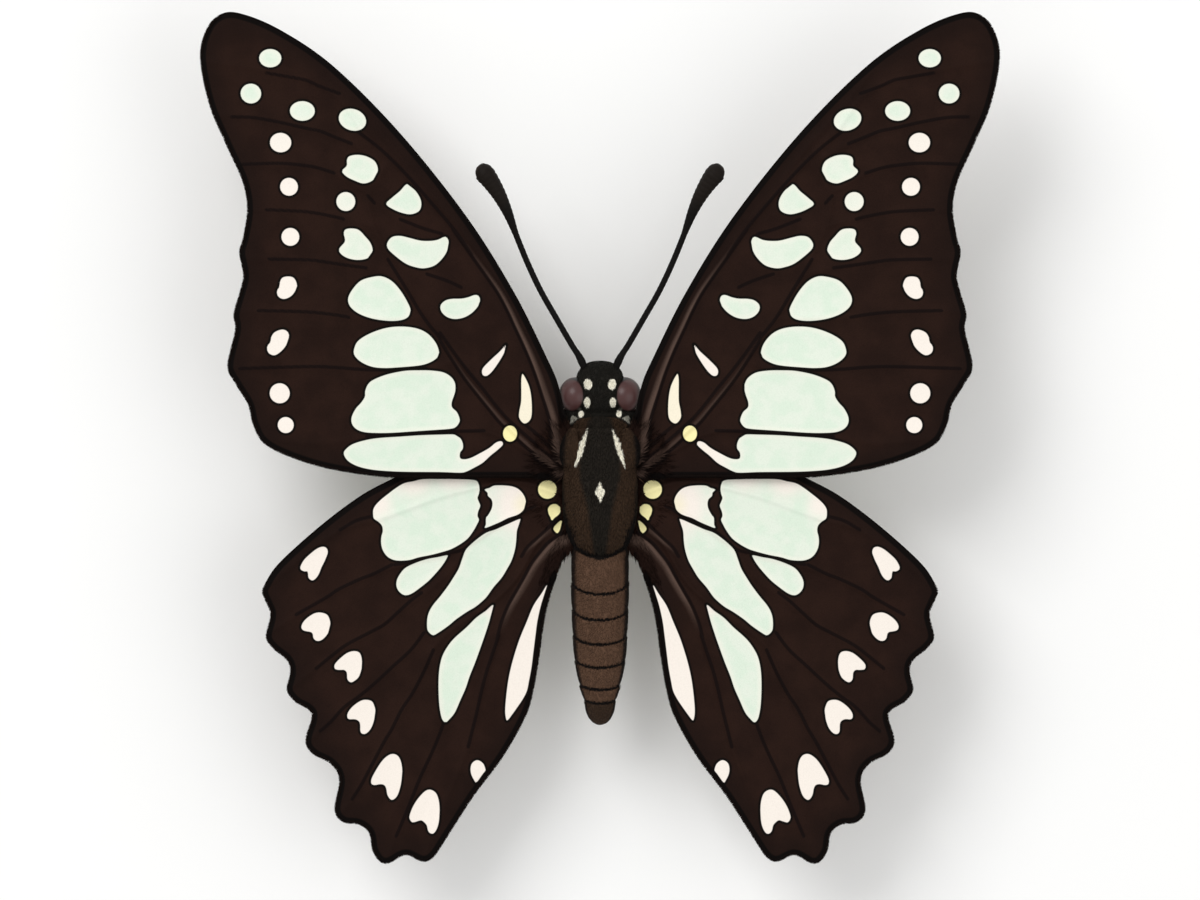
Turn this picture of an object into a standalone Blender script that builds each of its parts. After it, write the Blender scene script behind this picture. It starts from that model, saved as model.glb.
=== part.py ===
"""Veined jay butterfly (Graphium chironides), life size, basking on six legs with its wings spread flat.

+Y is towards the head, +X is the animal's right, +Z is up, and the feet stand on the plane z = 0.
"""

import math

import bmesh
import bpy
import numpy as np
from mathutils import Matrix, Vector, geometry

# The driving dimension is the forewing, from its root to its apex. Every other size below is in plan
# units: one unit is a millimetre on an animal whose forewing is 42.5 mm long.
FOREWING_LENGTH = 0.0425
FOREWING_UNITS = 42.5
UNIT = FOREWING_LENGTH / FOREWING_UNITS

# Gap that touching pieces keep, and the thickness of the wings
GAP = 0.3
MEMBRANE = 0.5
VEIN_SIDE = 0.5
OUTLINE_STEP = 1.15
VEIN_STEP = 2.2
FILL_STEP = 3.4
LEAST_SPACING = 0.42

# Height of the wings over the floor: root, rise and droop outwards, and lean from front to back
FOREWING_ROOT_Z = 9.5
HINDWING_ROOT_Z = 8.3
WING_ROOT_X = 3.0
WING_HINGE_Y = -3.0
RISE = 0.11
DROOP = 0.0012
HIND_RISE = 0.1
HIND_DROOP = 0.001
FORE_LEAN = 0.012
HIND_LEAN = 0.02

# Forewing outline: leading edge, apex, wavy outer margin, hind edge and root
FOREWING_COSTA = [
    (3.1, 0.9), (3.15, 3.9), (4.0, 6.05), (6.48, 11.0), (10.0, 16.6), (15.0, 22.87), (20.0, 27.88),
    (24.0, 30.6), (27.0, 31.82),
]
FOREWING_APEX = [(28.5, 31.7), (29.5, 30.6), (29.97, 28.5)]
FOREWING_MARGIN = [
    (29.3, 25.0), (28.05, 22.0), (26.8, 19.2), (26.45, 17.1), (26.77, 15.0), (27.04, 13.9), (26.75, 12.2),
    (27.0, 11.0), (27.47, 9.3), (27.36, 8.1), (27.93, 5.4), (27.3, 4.0), (26.4, 2.5), (26.02, 1.2),
    (25.0, -0.5), (23.1, -1.5),
]
FOREWING_HIND_EDGE = [(20.0, -2.4), (15.4, -3.0), (9.0, -3.0), (3.25, -3.0)]

# Hindwing outline: leading edge under the forewing, scalloped outer margin, inner edge and root
HINDWING_COSTA = [
    (3.3, -3.6), (5.0, -1.8), (8.0, -1.2), (11.0, -1.25), (13.5, -2.0), (15.6, -3.05), (18.0, -4.35),
    (21.0, -6.6), (24.0, -9.3),
]
HINDWING_SCALLOPS = [
    (25.1, -10.85), (25.35, -11.6), (25.0, -12.5), (24.75, -13.3), (25.08, -14.9), (24.6, -15.75),
    (23.5, -16.7), (23.27, -17.6), (23.52, -18.9), (22.9, -19.8), (21.9, -20.4), (21.67, -21.0),
    (22.12, -22.7), (21.6, -23.7), (20.2, -24.5), (19.6, -25.7), (19.95, -27.9), (19.3, -28.85),
    (18.1, -29.05), (17.35, -29.7), (17.1, -31.0), (16.5, -31.85), (15.8, -31.93), (14.6, -31.35),
    (13.35, -31.83), (12.5, -31.5),
]
HINDWING_INNER_EDGE = [
    (11.5, -30.05), (9.5, -26.95), (7.3, -24.0), (5.6, -21.0), (4.98, -19.0), (4.5, -16.2), (4.2, -14.0),
    (3.75, -12.0), (3.1, -10.05), (2.6, -8.8),
]
HINDWING_ROOT = [(2.55, -8.1), (2.9, -6.9), (3.15, -5.6), (3.25, -4.4)]

# Main veins: points from the root outwards, and the thickness of the wing on them at both ends
FOREWING_VEINS = [
    ([(3.55, -1.3), (3.65, 1.5), (4.6, 4.5), (6.0, 8.0), (8.0, 11.7), (11.0, 15.7), (14.2, 19.4), (17.4, 22.6),
      (20.2, 26.0), (25.0, 27.5), (29.2, 28.2)], 1.0, 0.66),
    ([(3.6, -2.0), (5.5, -0.4), (8.2, 2.3), (10.9, 5.8), (13.2, 9.0), (15.2, 12.3), (17.0, 15.9)], 1.0, 0.75),
    ([(17.0, 15.9), (17.3, 18.2), (15.9, 20.6)], 0.72, 0.72),
    ([(16.6, 20.9), (18.8, 22.1), (22.0, 23.2), (26.0, 24.0), (28.6, 24.2)], 0.72, 0.62),
    ([(17.4, 18.4), (19.9, 19.8), (22.0, 20.4), (26.9, 20.5)], 0.72, 0.62),
    ([(17.0, 15.9), (20.0, 16.6), (25.6, 17.15)], 0.72, 0.62),
    ([(15.2, 12.3), (17.5, 12.75), (21.0, 13.25), (26.6, 13.45)], 0.72, 0.62),
    ([(13.2, 9.0), (18.8, 9.05), (22.0, 9.45), (27.0, 9.5)], 0.72, 0.62),
    ([(10.9, 5.8), (13.0, 5.2), (18.0, 5.15), (22.0, 5.35), (27.4, 5.2)], 0.72, 0.62),
    ([(3.7, -2.3), (6.0, -0.7), (8.7, 0.5), (13.0, 0.45), (17.5, 0.05), (21.0, -0.4), (25.0, 0.0)], 0.85, 0.62),
    ([(12.5, 17.6), (15.4, 21.6), (18.4, 25.0), (20.6, 27.4)], 0.7, 0.62),
]
HINDWING_VEINS = [
    ([(3.6, -4.9), (5.6, -5.5), (7.5, -6.4), (9.6, -7.8), (11.5, -8.65), (14.5, -9.4), (17.0, -10.2),
      (20.6, -12.0), (24.6, -14.5)], 0.9, 0.62),
    ([(3.5, -4.3), (6.0, -3.3), (8.8, -3.6), (12.0, -4.4), (16.4, -6.0), (20.0, -7.2), (24.8, -11.0)], 0.85, 0.62),
    ([(10.2, -8.3), (11.4, -10.2), (14.2, -12.4), (17.2, -14.55), (20.2, -16.4), (23.0, -18.7)], 0.72, 0.62),
    ([(13.3, -14.0), (14.2, -15.9), (16.9, -18.4), (19.2, -20.2), (21.6, -22.6)], 0.7, 0.62),
    ([(3.3, -5.9), (4.8, -8.0), (6.2, -10.4), (7.8, -12.1), (9.8, -13.5), (12.4, -15.6), (14.1, -19.2),
      (16.2, -22.8), (18.6, -27.1), (19.4, -28.2)], 0.95, 0.62),
    ([(12.5, -16.2), (12.45, -18.5), (12.2, -21.6), (13.5, -25.5), (15.3, -29.9), (15.9, -31.4)], 0.7, 0.62),
    ([(3.1, -7.2), (4.6, -9.2), (5.9, -11.2), (7.2, -13.6), (7.9, -15.6), (8.9, -19.0), (9.9, -23.2),
      (11.6, -27.4), (13.1, -31.2)], 0.9, 0.62),
]

# Thorax: ends along Y, axis height and half sizes
THORAX_FRONT_Y = 1.2
THORAX_BACK_Y = -9.0
THORAX_AXIS_Z = 8.7
THORAX_HALF_WIDTH = 2.93
THORAX_UP = 3.0
THORAX_DOWN = 3.5
THORAX_SQUARENESS = 2.4

# Neck collar, head and eyes: centres and half sizes
COLLAR_CENTRE = (0.0, 1.32, 8.35)
COLLAR_HALF = (1.8, 0.8, 1.75)
HEAD_CENTRE = (0.0, 3.66, 8.2)
HEAD_HALF = (1.93, 2.12, 1.9)
EYE_CENTRE = (2.1, 3.2, 8.2)
EYE_HALF = (1.0, 1.38, 1.5)

# Scale plate over each forewing root
TEGULA_CENTRE = (2.28, -0.75, 10.35)
TEGULA_HALF = (0.85, 1.55, 0.5)
TEGULA_TILT = math.radians(38)

# Abdomen: where each segment ends along its side, the half width there, and the slope of its rings
ABDOMEN_START_Y = -7.6
SEGMENT_ENDS_Y = [-10.75, -12.8, -14.75, -16.6, -18.45, -19.6]
SEGMENT_HALF_WIDTHS = [2.1, 2.05, 1.97, 1.86, 1.49, 1.16]
ABDOMEN_TIP_Y = -21.25
ABDOMEN_START_HALF_WIDTH = 2.0
SEGMENT_BULGE = 0.1
RING_SLOPE = 0.35
ABDOMEN_AXIS_Z = 8.0
ABDOMEN_TIP_DROP = 0.9

# Feelers: plan route, rise, shaft and club
ANTENNA_ROUTE = [(1.1, 5.0), (2.13, 7.0), (3.85, 10.0), (5.38, 13.0), (6.64, 16.0), (7.56, 18.0), (8.85, 20.3)]
ANTENNA_ROOT_Z = 8.75
ANTENNA_RISE = 0.24
ANTENNA_SHAFT = 0.26
ANTENNA_CLUB = 0.74
CLUB_SHARE = 0.26
ANTENNA_STEP = 0.75

# Mouthparts
PALP_ROUTE = [(0.5, 3.4, 5.85), (0.5, 4.4, 5.75), (0.5, 5.15, 6.15), (0.52, 5.55, 6.8)]
PALP_RADII = [0.3, 0.36, 0.33, 0.25]
COIL_CENTRE = (4.1, 4.5)
COIL_OUTER = 1.15
COIL_INNER = 0.32
COIL_TURNS = 1.05
COIL_THICK = 0.25
COIL_STEPS = 22

# Legs: root inside the thorax, knee, heel and toe, as offsets of the right side
LEGS = {
    "front": [(1.0, -0.3, 7.0), (4.7, 2.2, 7.3), (6.2, 4.4, 0.0), (7.8, 9.2, 0.0)],
    "middle": [(1.3, -3.2, 6.6), (6.2, -4.3, 7.0), (8.9, -5.4, 0.0), (13.2, -8.2, 0.0)],
    "hind": [(1.3, -6.0, 6.8), (5.4, -10.4, 6.8), (7.4, -14.6, 0.0), (9.3, -19.6, 0.0)],
}
FEMUR_RADII = [0.55, 0.5, 0.42, 0.36]
TIBIA_RADII = [0.27, 0.33, 0.3, 0.26]
TARSUS_RADII = [0.27, 0.26, 0.25, 0.22]
TARSUS_AXIS_Z = 0.12

# Colours as 8-bit sRGB
WING_BROWN = (40, 27, 23)
THORAX_BROWN = (38, 29, 25)
HEAD_BROWN = (28, 26, 22)
EYE_BROWN = (84, 61, 55)
ABDOMEN_BROWN = (86, 61, 41)
LEG_BROWN = (58, 42, 33)
FEELER_BROWN = (40, 32, 26)


def clear_scene():
    for obj in list(bpy.data.objects):
        bpy.data.objects.remove(obj, do_unlink=True)


def new_collection(name):
    made = bpy.data.collections.new(name)
    bpy.context.scene.collection.children.link(made)
    return made


def linear(channel):
    """One 8-bit sRGB channel as linear light."""
    share = channel / 255
    return share / 12.92 if share <= 0.04045 else ((share + 0.055) / 1.055) ** 2.4


def material(name, colour, roughness=0.6):
    made = bpy.data.materials.new(name)
    made.use_nodes = True
    shader = made.node_tree.nodes["Principled BSDF"]
    shader.inputs["Base Color"].default_value = (*map(linear, colour), 1)
    shader.inputs["Roughness"].default_value = roughness
    shader.inputs["Metallic"].default_value = 0
    return made


def add_object(name, bm, finish, collection=None):
    """A new object from a bmesh in plan units, scaled to metres."""
    bmesh.ops.scale(bm, vec=(UNIT, UNIT, UNIT), verts=bm.verts)
    bmesh.ops.recalc_face_normals(bm, faces=bm.faces)
    mesh = bpy.data.meshes.new(name)
    bm.to_mesh(mesh)
    bm.free()
    mesh.materials.append(finish)
    mesh.shade_smooth()
    mesh.set_sharp_from_angle(angle=math.radians(40))
    obj = bpy.data.objects.new(name, mesh)
    (collection or PARTS).objects.link(obj)
    return obj


def keep_largest(obj):
    """Deletes every closed surface of the mesh but the largest."""
    bm = bmesh.new()
    bm.from_mesh(obj.data)
    left = set(bm.verts)
    surfaces = []
    while left:
        found = {left.pop()}
        edge = set(found)
        while edge:
            edge = {e.other_vert(v) for v in edge for e in v.link_edges} - found
            found |= edge
        left -= found
        surfaces.append(found)
    surfaces.sort(key=len)
    for scrap in surfaces[:-1]:
        bmesh.ops.delete(bm, geom=list(scrap), context="VERTS")
    bm.to_mesh(obj.data)
    bm.free()


def carve(obj, cutters):
    """Cuts the grown neighbours away from a piece, so that both meet face to face with the usual gap."""
    for cutter in cutters:
        cutter.hide_render = True
        cutter.display_type = "WIRE"
        cut = obj.modifiers.new("cut_" + cutter.name, "BOOLEAN")
        cut.operation = "DIFFERENCE"
        cut.object = cutter
    bpy.context.view_layer.update()
    graph = bpy.context.evaluated_depsgraph_get()
    mesh = bpy.data.meshes.new_from_object(obj.evaluated_get(graph))
    obj.modifiers.clear()
    obj.data = mesh
    for cutter in cutters:
        bpy.data.objects.remove(cutter, do_unlink=True)
    keep_largest(obj)


def unit_ball(segments, rings):
    """A UV sphere of radius 1 with its poles on Y."""
    bm = bmesh.new()
    bmesh.ops.create_uvsphere(bm, u_segments=segments, v_segments=rings, radius=1)
    bmesh.ops.rotate(bm, cent=(0, 0, 0), matrix=Matrix.Rotation(math.pi / 2, 3, "X"), verts=bm.verts)
    return bm


def ellipsoid(name, centre, half, finish, grow=0.0, tilt=0.0, segments=22, rings=14, collection=None):
    """An ellipsoid with half sizes along X, Y and Z, tilted about Y."""
    bm = unit_ball(segments, rings)
    bmesh.ops.scale(bm, vec=[size + grow for size in half], verts=bm.verts)
    bmesh.ops.rotate(bm, cent=(0, 0, 0), matrix=Matrix.Rotation(tilt, 3, "Y"), verts=bm.verts)
    bmesh.ops.translate(bm, vec=centre, verts=bm.verts)
    return add_object(name, bm, finish, collection)


def power(value, exponent):
    """A signed power, for rounded-square sections."""
    return math.copysign(abs(value) ** exponent, value)


def thorax(name, finish, grow=0.0, segments=30, rings=22, collection=None):
    """A UV sphere drawn out along Y: square in front, tapering behind, with rounded-square sections."""
    middle_y = (THORAX_FRONT_Y + THORAX_BACK_Y) / 2
    half_length = (THORAX_FRONT_Y - THORAX_BACK_Y) / 2 + grow
    bm = unit_ball(segments, rings)
    for vert in bm.verts:
        along = max(-1.0, min(1.0, vert.co.y))
        around = math.atan2(vert.co.z, vert.co.x)
        end = (1 - along**8) ** 0.4 if along > 0 else (1 - abs(along) ** 2.6) ** 0.5
        dome = (1 - abs(along) ** 2.5) ** 0.5
        side = power(math.cos(around), 2 / THORAX_SQUARENESS)
        rise = power(math.sin(around), 2 / THORAX_SQUARENESS)
        height = THORAX_UP if rise > 0 else THORAX_DOWN
        vert.co.x = (THORAX_HALF_WIDTH + grow) * end * side
        vert.co.y = middle_y + half_length * along
        vert.co.z = THORAX_AXIS_Z + (height + grow) * dome * rise
    bmesh.ops.remove_doubles(bm, verts=bm.verts, dist=0.001)
    return add_object(name, bm, finish, collection)


def smooth_line(points, step):
    """Points about a step apart on a Catmull-Rom curve through the given ones."""
    knots = [np.array(point, float) for point in points]
    before = 2 * knots[0] - knots[1]
    after = 2 * knots[-1] - knots[-2]
    knots = [before, *knots, after]
    line = []
    for a, b, c, d in zip(knots, knots[1:], knots[2:], knots[3:]):
        pieces = max(1, round(float(np.linalg.norm(c - b)) / step))
        for i in range(pieces):
            t = i / pieces
            line.append(
                0.5 * (2 * b + (c - a) * t + (2 * a - 5 * b + 4 * c - d) * t**2 + (3 * b - a - 3 * c + d) * t**3)
            )
    line.append(knots[-2])
    return np.array(line)


def distance_to_line(point, line):
    """Distance from a point to a polyline, and how far along the nearest place is, from 0 to 1."""
    starts = line[:-1]
    runs = line[1:] - starts
    shares = ((point - starts) * runs).sum(axis=1) / (runs**2).sum(axis=1)
    shares = np.clip(shares, 0, 1)
    gaps = np.linalg.norm(starts + runs * shares[:, None] - point, axis=1)
    nearest = int(gaps.argmin())
    return float(gaps[nearest]), (nearest + float(shares[nearest])) / len(runs)


def forewing_height(x, y):
    out = abs(x) - WING_ROOT_X
    return FOREWING_ROOT_Z + RISE * out - DROOP * out**2 + FORE_LEAN * (y - WING_HINGE_Y)


def hindwing_height(x, y):
    out = abs(x) - WING_ROOT_X
    return HINDWING_ROOT_Z + HIND_RISE * out - HIND_DROOP * out**2 + HIND_LEAN * (y - WING_HINGE_Y)


def side_points(line, offset):
    """The points of a line moved to its left and to its right."""
    runs = np.gradient(line, axis=0)
    across = np.stack([-runs[:, 1], runs[:, 0]], axis=1)
    across = across / np.linalg.norm(across, axis=1)[:, None]
    return np.concatenate([line + offset * across, line - offset * across])


def spaced(points, kept, room):
    """The points that stay a given room away from those kept and from each other."""
    kept = list(kept)
    chosen = []
    for point in points:
        if min(np.linalg.norm(np.array(kept) - point, axis=1)) >= room:
            kept.append(point)
            chosen.append(point)
    return chosen


def inside(point, outline):
    """Whether a point lies within a closed outline, by counting the edges to its right."""
    x, y = point
    following = np.roll(outline, -1, axis=0)
    crosses = (outline[:, 1] > y) != (following[:, 1] > y)
    rise = np.where(crosses, following[:, 1] - outline[:, 1], 1)
    edge_x = outline[:, 0] + (y - outline[:, 1]) * (following[:, 0] - outline[:, 0]) / rise
    return bool((crosses & (edge_x > x)).sum() % 2)


def wing(name, finish, side, outline, edge_vein, veins, height):
    """A wing plate: its outline and veins triangulated flat, then bent to its height and thickened.

    The thickness falls from a vein's own value on its line to the membrane's at VEIN_SIDE from it.
    """
    lines = [(smooth_line(points, VEIN_STEP), near, far) for points, near, far in veins]
    ridges = [*lines, (edge_vein, 0.9, 0.66)]
    plan = list(outline)
    chains = []
    for line, _, _ in lines:
        kept = [p for p in line if inside(p, outline) and distance_to_line(p, outline)[0] > LEAST_SPACING]
        chains.append((len(plan), len(kept)))
        plan.extend(kept)
    sides = np.concatenate([side_points(line, VEIN_SIDE) for line, _, _ in ridges])
    clear_of_edge = [
        p for p in sides if inside(p, outline) and distance_to_line(p, outline)[0] > LEAST_SPACING
    ]
    plan.extend(spaced(clear_of_edge, plan, LEAST_SPACING))
    columns = np.arange(outline[:, 0].min(), outline[:, 0].max(), FILL_STEP)
    rows = np.arange(outline[:, 1].min(), outline[:, 1].max(), FILL_STEP)
    fill = [
        np.array((x, y)) for x in columns for y in rows
        if inside((x, y), outline) and distance_to_line(np.array((x, y)), outline)[0] > 0.3 * FILL_STEP
    ]
    plan.extend(spaced(fill, plan, 0.45 * FILL_STEP))
    edges = [(first + i, first + i + 1) for first, count in chains for i in range(count - 1)]
    edges += [(i, (i + 1) % len(outline)) for i in range(len(outline))]
    flat = geometry.delaunay_2d_cdt([Vector(point) for point in plan], edges, [], 0, 1e-5, False)
    bm = bmesh.new()
    verts = [bm.verts.new((side * point.x, point.y, 0)) for point in flat[0]]
    for face in flat[2]:
        middle = sum((flat[0][i] for i in face), Vector((0, 0))) / len(face)
        if inside(middle, outline):
            bm.faces.new([verts[i] for i in face])
    loose = [vert for vert in bm.verts if not vert.link_faces]
    bmesh.ops.delete(bm, geom=loose, context="VERTS")
    lower = list(bm.verts)
    raised = bmesh.ops.extrude_face_region(bm, geom=list(bm.faces))
    upper = [item for item in raised["geom"] if isinstance(item, bmesh.types.BMVert)]
    for verts_of_face, sign in ((lower, -0.5), (upper, 0.5)):
        for vert in verts_of_face:
            point = np.array((abs(vert.co.x), vert.co.y))
            thick = MEMBRANE
            for line, near, far in ridges:
                gap, share = distance_to_line(point, line)
                crest = near + (far - near) * share
                thick = max(thick, MEMBRANE + (crest - MEMBRANE) * (1 - gap / VEIN_SIDE))
            vert.co.z = height(*point) + sign * thick
    return add_object(name, bm, finish)


def tube(name, finish, points, radii, floor=False):
    """A tapered tube through the points as a closed mesh; with floor, its underside is a flat at z = 0."""
    curve = bpy.data.curves.new(name, "CURVE")
    curve.dimensions = "3D"
    curve.bevel_depth = 1.0
    curve.bevel_resolution = 2
    curve.use_fill_caps = True
    spline = curve.splines.new("POLY")
    spline.points.add(len(points) - 1)
    for spot, place, radius in zip(spline.points, points, radii):
        spot.co = (*place, 1)
        spot.radius = radius
    guide = bpy.data.objects.new(name + "_route", curve)
    CUTTERS.objects.link(guide)
    bpy.context.view_layer.update()
    graph = bpy.context.evaluated_depsgraph_get()
    mesh = bpy.data.meshes.new_from_object(guide.evaluated_get(graph))
    bm = bmesh.new()
    bm.from_mesh(mesh)
    bmesh.ops.remove_doubles(bm, verts=bm.verts, dist=0.0005)
    if floor:
        for vert in bm.verts:
            vert.co.z = max(vert.co.z, 0.0)
    bpy.data.objects.remove(guide, do_unlink=True)
    bpy.data.meshes.remove(mesh)
    return add_object(name, bm, finish)


def along(start, end, shares):
    """Points at given shares of the way from one place to another."""
    return [Vector(start).lerp(Vector(end), share) for share in shares]


def abdomen(finish):
    """A turned profile of bulging segments, whose rings lean back above and whose tip droops."""
    ends = [ABDOMEN_START_Y, *SEGMENT_ENDS_Y]
    widths = [ABDOMEN_START_HALF_WIDTH, *SEGMENT_HALF_WIDTHS]
    profile = [(0.0, ends[0])]
    for near, far, wide, narrow in zip(ends, ends[1:], widths, widths[1:]):
        for share in (0.0, 0.12, 0.5, 0.88):
            bulge = SEGMENT_BULGE * math.sin(math.pi * share) ** 0.5
            profile.append((wide + (narrow - wide) * share + bulge, near + (far - near) * share))
    tip_length = ends[-1] - ABDOMEN_TIP_Y
    for turn in (0, 20, 40, 60, 78):
        angle = math.radians(turn)
        profile.append((widths[-1] * math.cos(angle), ends[-1] - tip_length * math.sin(angle)))
    profile.append((0.0, ABDOMEN_TIP_Y))
    bm = bmesh.new()
    verts = [bm.verts.new((radius, 0, y)) for radius, y in profile]
    edges = [bm.edges.new(pair) for pair in zip(verts, verts[1:])]
    bmesh.ops.spin(
        bm, geom=[*verts, *edges], cent=(0, 0, 0), axis=(0, 0, 1), angle=math.tau, steps=24, use_merge=True
    )
    bmesh.ops.remove_doubles(bm, verts=bm.verts, dist=0.0005)
    for vert in bm.verts:
        x, up, y = vert.co
        drop = ABDOMEN_TIP_DROP * max(0.0, (ABDOMEN_START_Y - y) / (ABDOMEN_START_Y - ABDOMEN_TIP_Y)) ** 2
        vert.co = (x, y - RING_SLOPE * up, ABDOMEN_AXIS_Z + up - drop)
    obj = add_object("abdomen", bm, finish)
    carve(obj, [thorax("thorax_room", finish, GAP, collection=CUTTERS)])


def antenna(name, finish, side):
    """A thin shaft that widens into a long rounded club."""
    plan = smooth_line(ANTENNA_ROUTE, ANTENNA_STEP)
    shares = np.linspace(0, 1, len(plan))
    z = ANTENNA_ROOT_Z + ANTENNA_RISE * (plan[:, 1] - plan[0, 1])
    into_club = np.clip((shares - 1 + CLUB_SHARE) / CLUB_SHARE, 0, 1)
    swell = np.sin(0.5 * np.pi * np.clip(into_club / 0.72, 0, 1)) ** 2
    rounding = np.sqrt(np.clip(1 - (np.clip(into_club - 0.72, 0, 1) / 0.29) ** 2, 0.03, 1))
    radii = (ANTENNA_SHAFT + (ANTENNA_CLUB - ANTENNA_SHAFT) * swell) * rounding
    route = [(side * x, y, height) for (x, y), height in zip(plan, z)]
    obj = tube(name, finish, route, radii)
    carve(obj, [ellipsoid(name + "_room", HEAD_CENTRE, HEAD_HALF, finish, GAP, collection=CUTTERS)])


def palp(name, finish, side):
    route = [(side * x, y, z) for x, y, z in PALP_ROUTE]
    obj = tube(name, finish, route, PALP_RADII)
    carve(obj, [ellipsoid(name + "_room", HEAD_CENTRE, HEAD_HALF, finish, GAP, collection=CUTTERS)])


def proboscis(finish):
    """The sucking tube, rolled up under the head like a watch spring."""
    centre_y, centre_z = COIL_CENTRE
    route = [(0.0, centre_y - 0.55, centre_z + COIL_OUTER + 0.95)]
    route.append((0.0, centre_y - 0.25, centre_z + COIL_OUTER + 0.3))
    for i in range(COIL_STEPS + 1):
        share = i / COIL_STEPS
        radius = COIL_OUTER + (COIL_INNER - COIL_OUTER) * share
        turn = math.radians(80) - math.tau * COIL_TURNS * share
        route.append((0.0, centre_y + radius * math.cos(turn), centre_z + radius * math.sin(turn)))
    obj = tube("proboscis", finish, route, [COIL_THICK] * len(route))
    carve(obj, [ellipsoid("proboscis_room", HEAD_CENTRE, HEAD_HALF, finish, GAP, collection=CUTTERS)])


def leg(place, finish, side):
    """Coxa with femur, tibia, and a tarsus that lies along the floor on its own flat."""
    word = "left" if side < 0 else "right"
    root, knee, heel, toe = [Vector((side * x, y, z)) for x, y, z in LEGS[place]]
    femur = tube(f"{place}_femur_{word}", finish, along(root, knee, (0, 0.3, 0.7, 1)), FEMUR_RADII)
    carve(femur, [thorax(f"{place}_room", finish, GAP, collection=CUTTERS)])
    shin = heel - knee
    top = knee + shin.normalized() * (FEMUR_RADII[-1] + GAP)
    ankle_z = TARSUS_AXIS_Z + TARSUS_RADII[0] + GAP + 0.12
    ankle = heel - shin * (ankle_z / abs(shin.z))
    tube(f"{place}_tibia_{word}", finish, along(top, ankle, (0, 0.3, 0.7, 1)), TIBIA_RADII)
    lift = Vector((0, 0, TARSUS_AXIS_Z))
    back = (toe - heel).normalized() * 0.5
    shares = (0, 0.35, 0.7, 1)
    tube(f"{place}_tarsus_{word}", finish, along(heel - back + lift, toe + lift, shares), TARSUS_RADII, True)


def head(finish):
    obj = ellipsoid("head", HEAD_CENTRE, HEAD_HALF, finish, segments=28, rings=18)
    rooms = []
    for side in (-1, 1):
        centre = (side * EYE_CENTRE[0], *EYE_CENTRE[1:])
        rooms.append(ellipsoid(f"eye_room_{side}", centre, EYE_HALF, finish, GAP, collection=CUTTERS))
    carve(obj, rooms)


def collar(finish):
    obj = ellipsoid("prothorax", COLLAR_CENTRE, COLLAR_HALF, finish)
    rooms = [thorax("collar_thorax_room", finish, GAP, collection=CUTTERS)]
    rooms.append(ellipsoid("collar_head_room", HEAD_CENTRE, HEAD_HALF, finish, GAP, collection=CUTTERS))
    for side in (-1, 1):
        centre = (side * EYE_CENTRE[0], *EYE_CENTRE[1:])
        rooms.append(ellipsoid(f"collar_eye_room_{side}", centre, EYE_HALF, finish, GAP, collection=CUTTERS))
    carve(obj, rooms)


def tegula(name, finish, side):
    centre = (side * TEGULA_CENTRE[0], *TEGULA_CENTRE[1:])
    obj = ellipsoid(name, centre, TEGULA_HALF, finish, tilt=side * TEGULA_TILT, segments=16, rings=10)
    carve(obj, [thorax(name + "_room", finish, GAP, collection=CUTTERS)])


clear_scene()
PARTS = new_collection("veined_jay")
CUTTERS = new_collection("cutters")

wing_finish = material("wing", WING_BROWN)
thorax_finish = material("thorax_fur", THORAX_BROWN, 0.9)
head_finish = material("head_fur", HEAD_BROWN, 0.9)
eye_finish = material("eye", EYE_BROWN, 0.25)
abdomen_finish = material("abdomen_scales", ABDOMEN_BROWN, 0.8)
leg_finish = material("leg", LEG_BROWN, 0.5)
feeler_finish = material("feeler", FEELER_BROWN, 0.5)

forewing_line = FOREWING_COSTA + FOREWING_APEX + FOREWING_MARGIN + FOREWING_HIND_EDGE
hindwing_line = HINDWING_COSTA + HINDWING_SCALLOPS + HINDWING_INNER_EDGE + HINDWING_ROOT
forewing_outline = smooth_line(forewing_line, OUTLINE_STEP)
hindwing_outline = smooth_line(hindwing_line, OUTLINE_STEP)
forewing_edge_vein = smooth_line(FOREWING_COSTA, OUTLINE_STEP)
hindwing_edge_vein = smooth_line(HINDWING_COSTA, OUTLINE_STEP)

thorax("thorax", thorax_finish)
collar(thorax_finish)
abdomen(abdomen_finish)
head(head_finish)
proboscis(feeler_finish)
for side, word in ((-1, "left"), (1, "right")):
    eye_centre = (side * EYE_CENTRE[0], *EYE_CENTRE[1:])
    ellipsoid("eye_" + word, eye_centre, EYE_HALF, eye_finish)
    antenna("antenna_" + word, feeler_finish, side)
    palp("palp_" + word, head_finish, side)
    tegula("tegula_" + word, thorax_finish, side)
    wing("forewing_" + word, wing_finish, side, forewing_outline, forewing_edge_vein, FOREWING_VEINS,
         forewing_height)
    wing("hindwing_" + word, wing_finish, side, hindwing_outline, hindwing_edge_vein, HINDWING_VEINS,
         hindwing_height)
    for place in LEGS:
        leg(place, leg_finish, side)
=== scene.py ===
# %% [markdown]
# # A veined jay butterfly, life size
#
# The veined jay is a swallowtail without tails: dark brown wings with pale green windows, cream spots along
# the scalloped edge and yellow dots at the root of the hindwing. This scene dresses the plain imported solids
# as the real animal, basking flat on its six legs and seen from straight above.
#
# Every piece is worked out in plan units. One unit is a millimetre on an animal with a 42.5 mm forewing, and
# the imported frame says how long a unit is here, so that the scene follows the frame if its size changes.

import math

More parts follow.
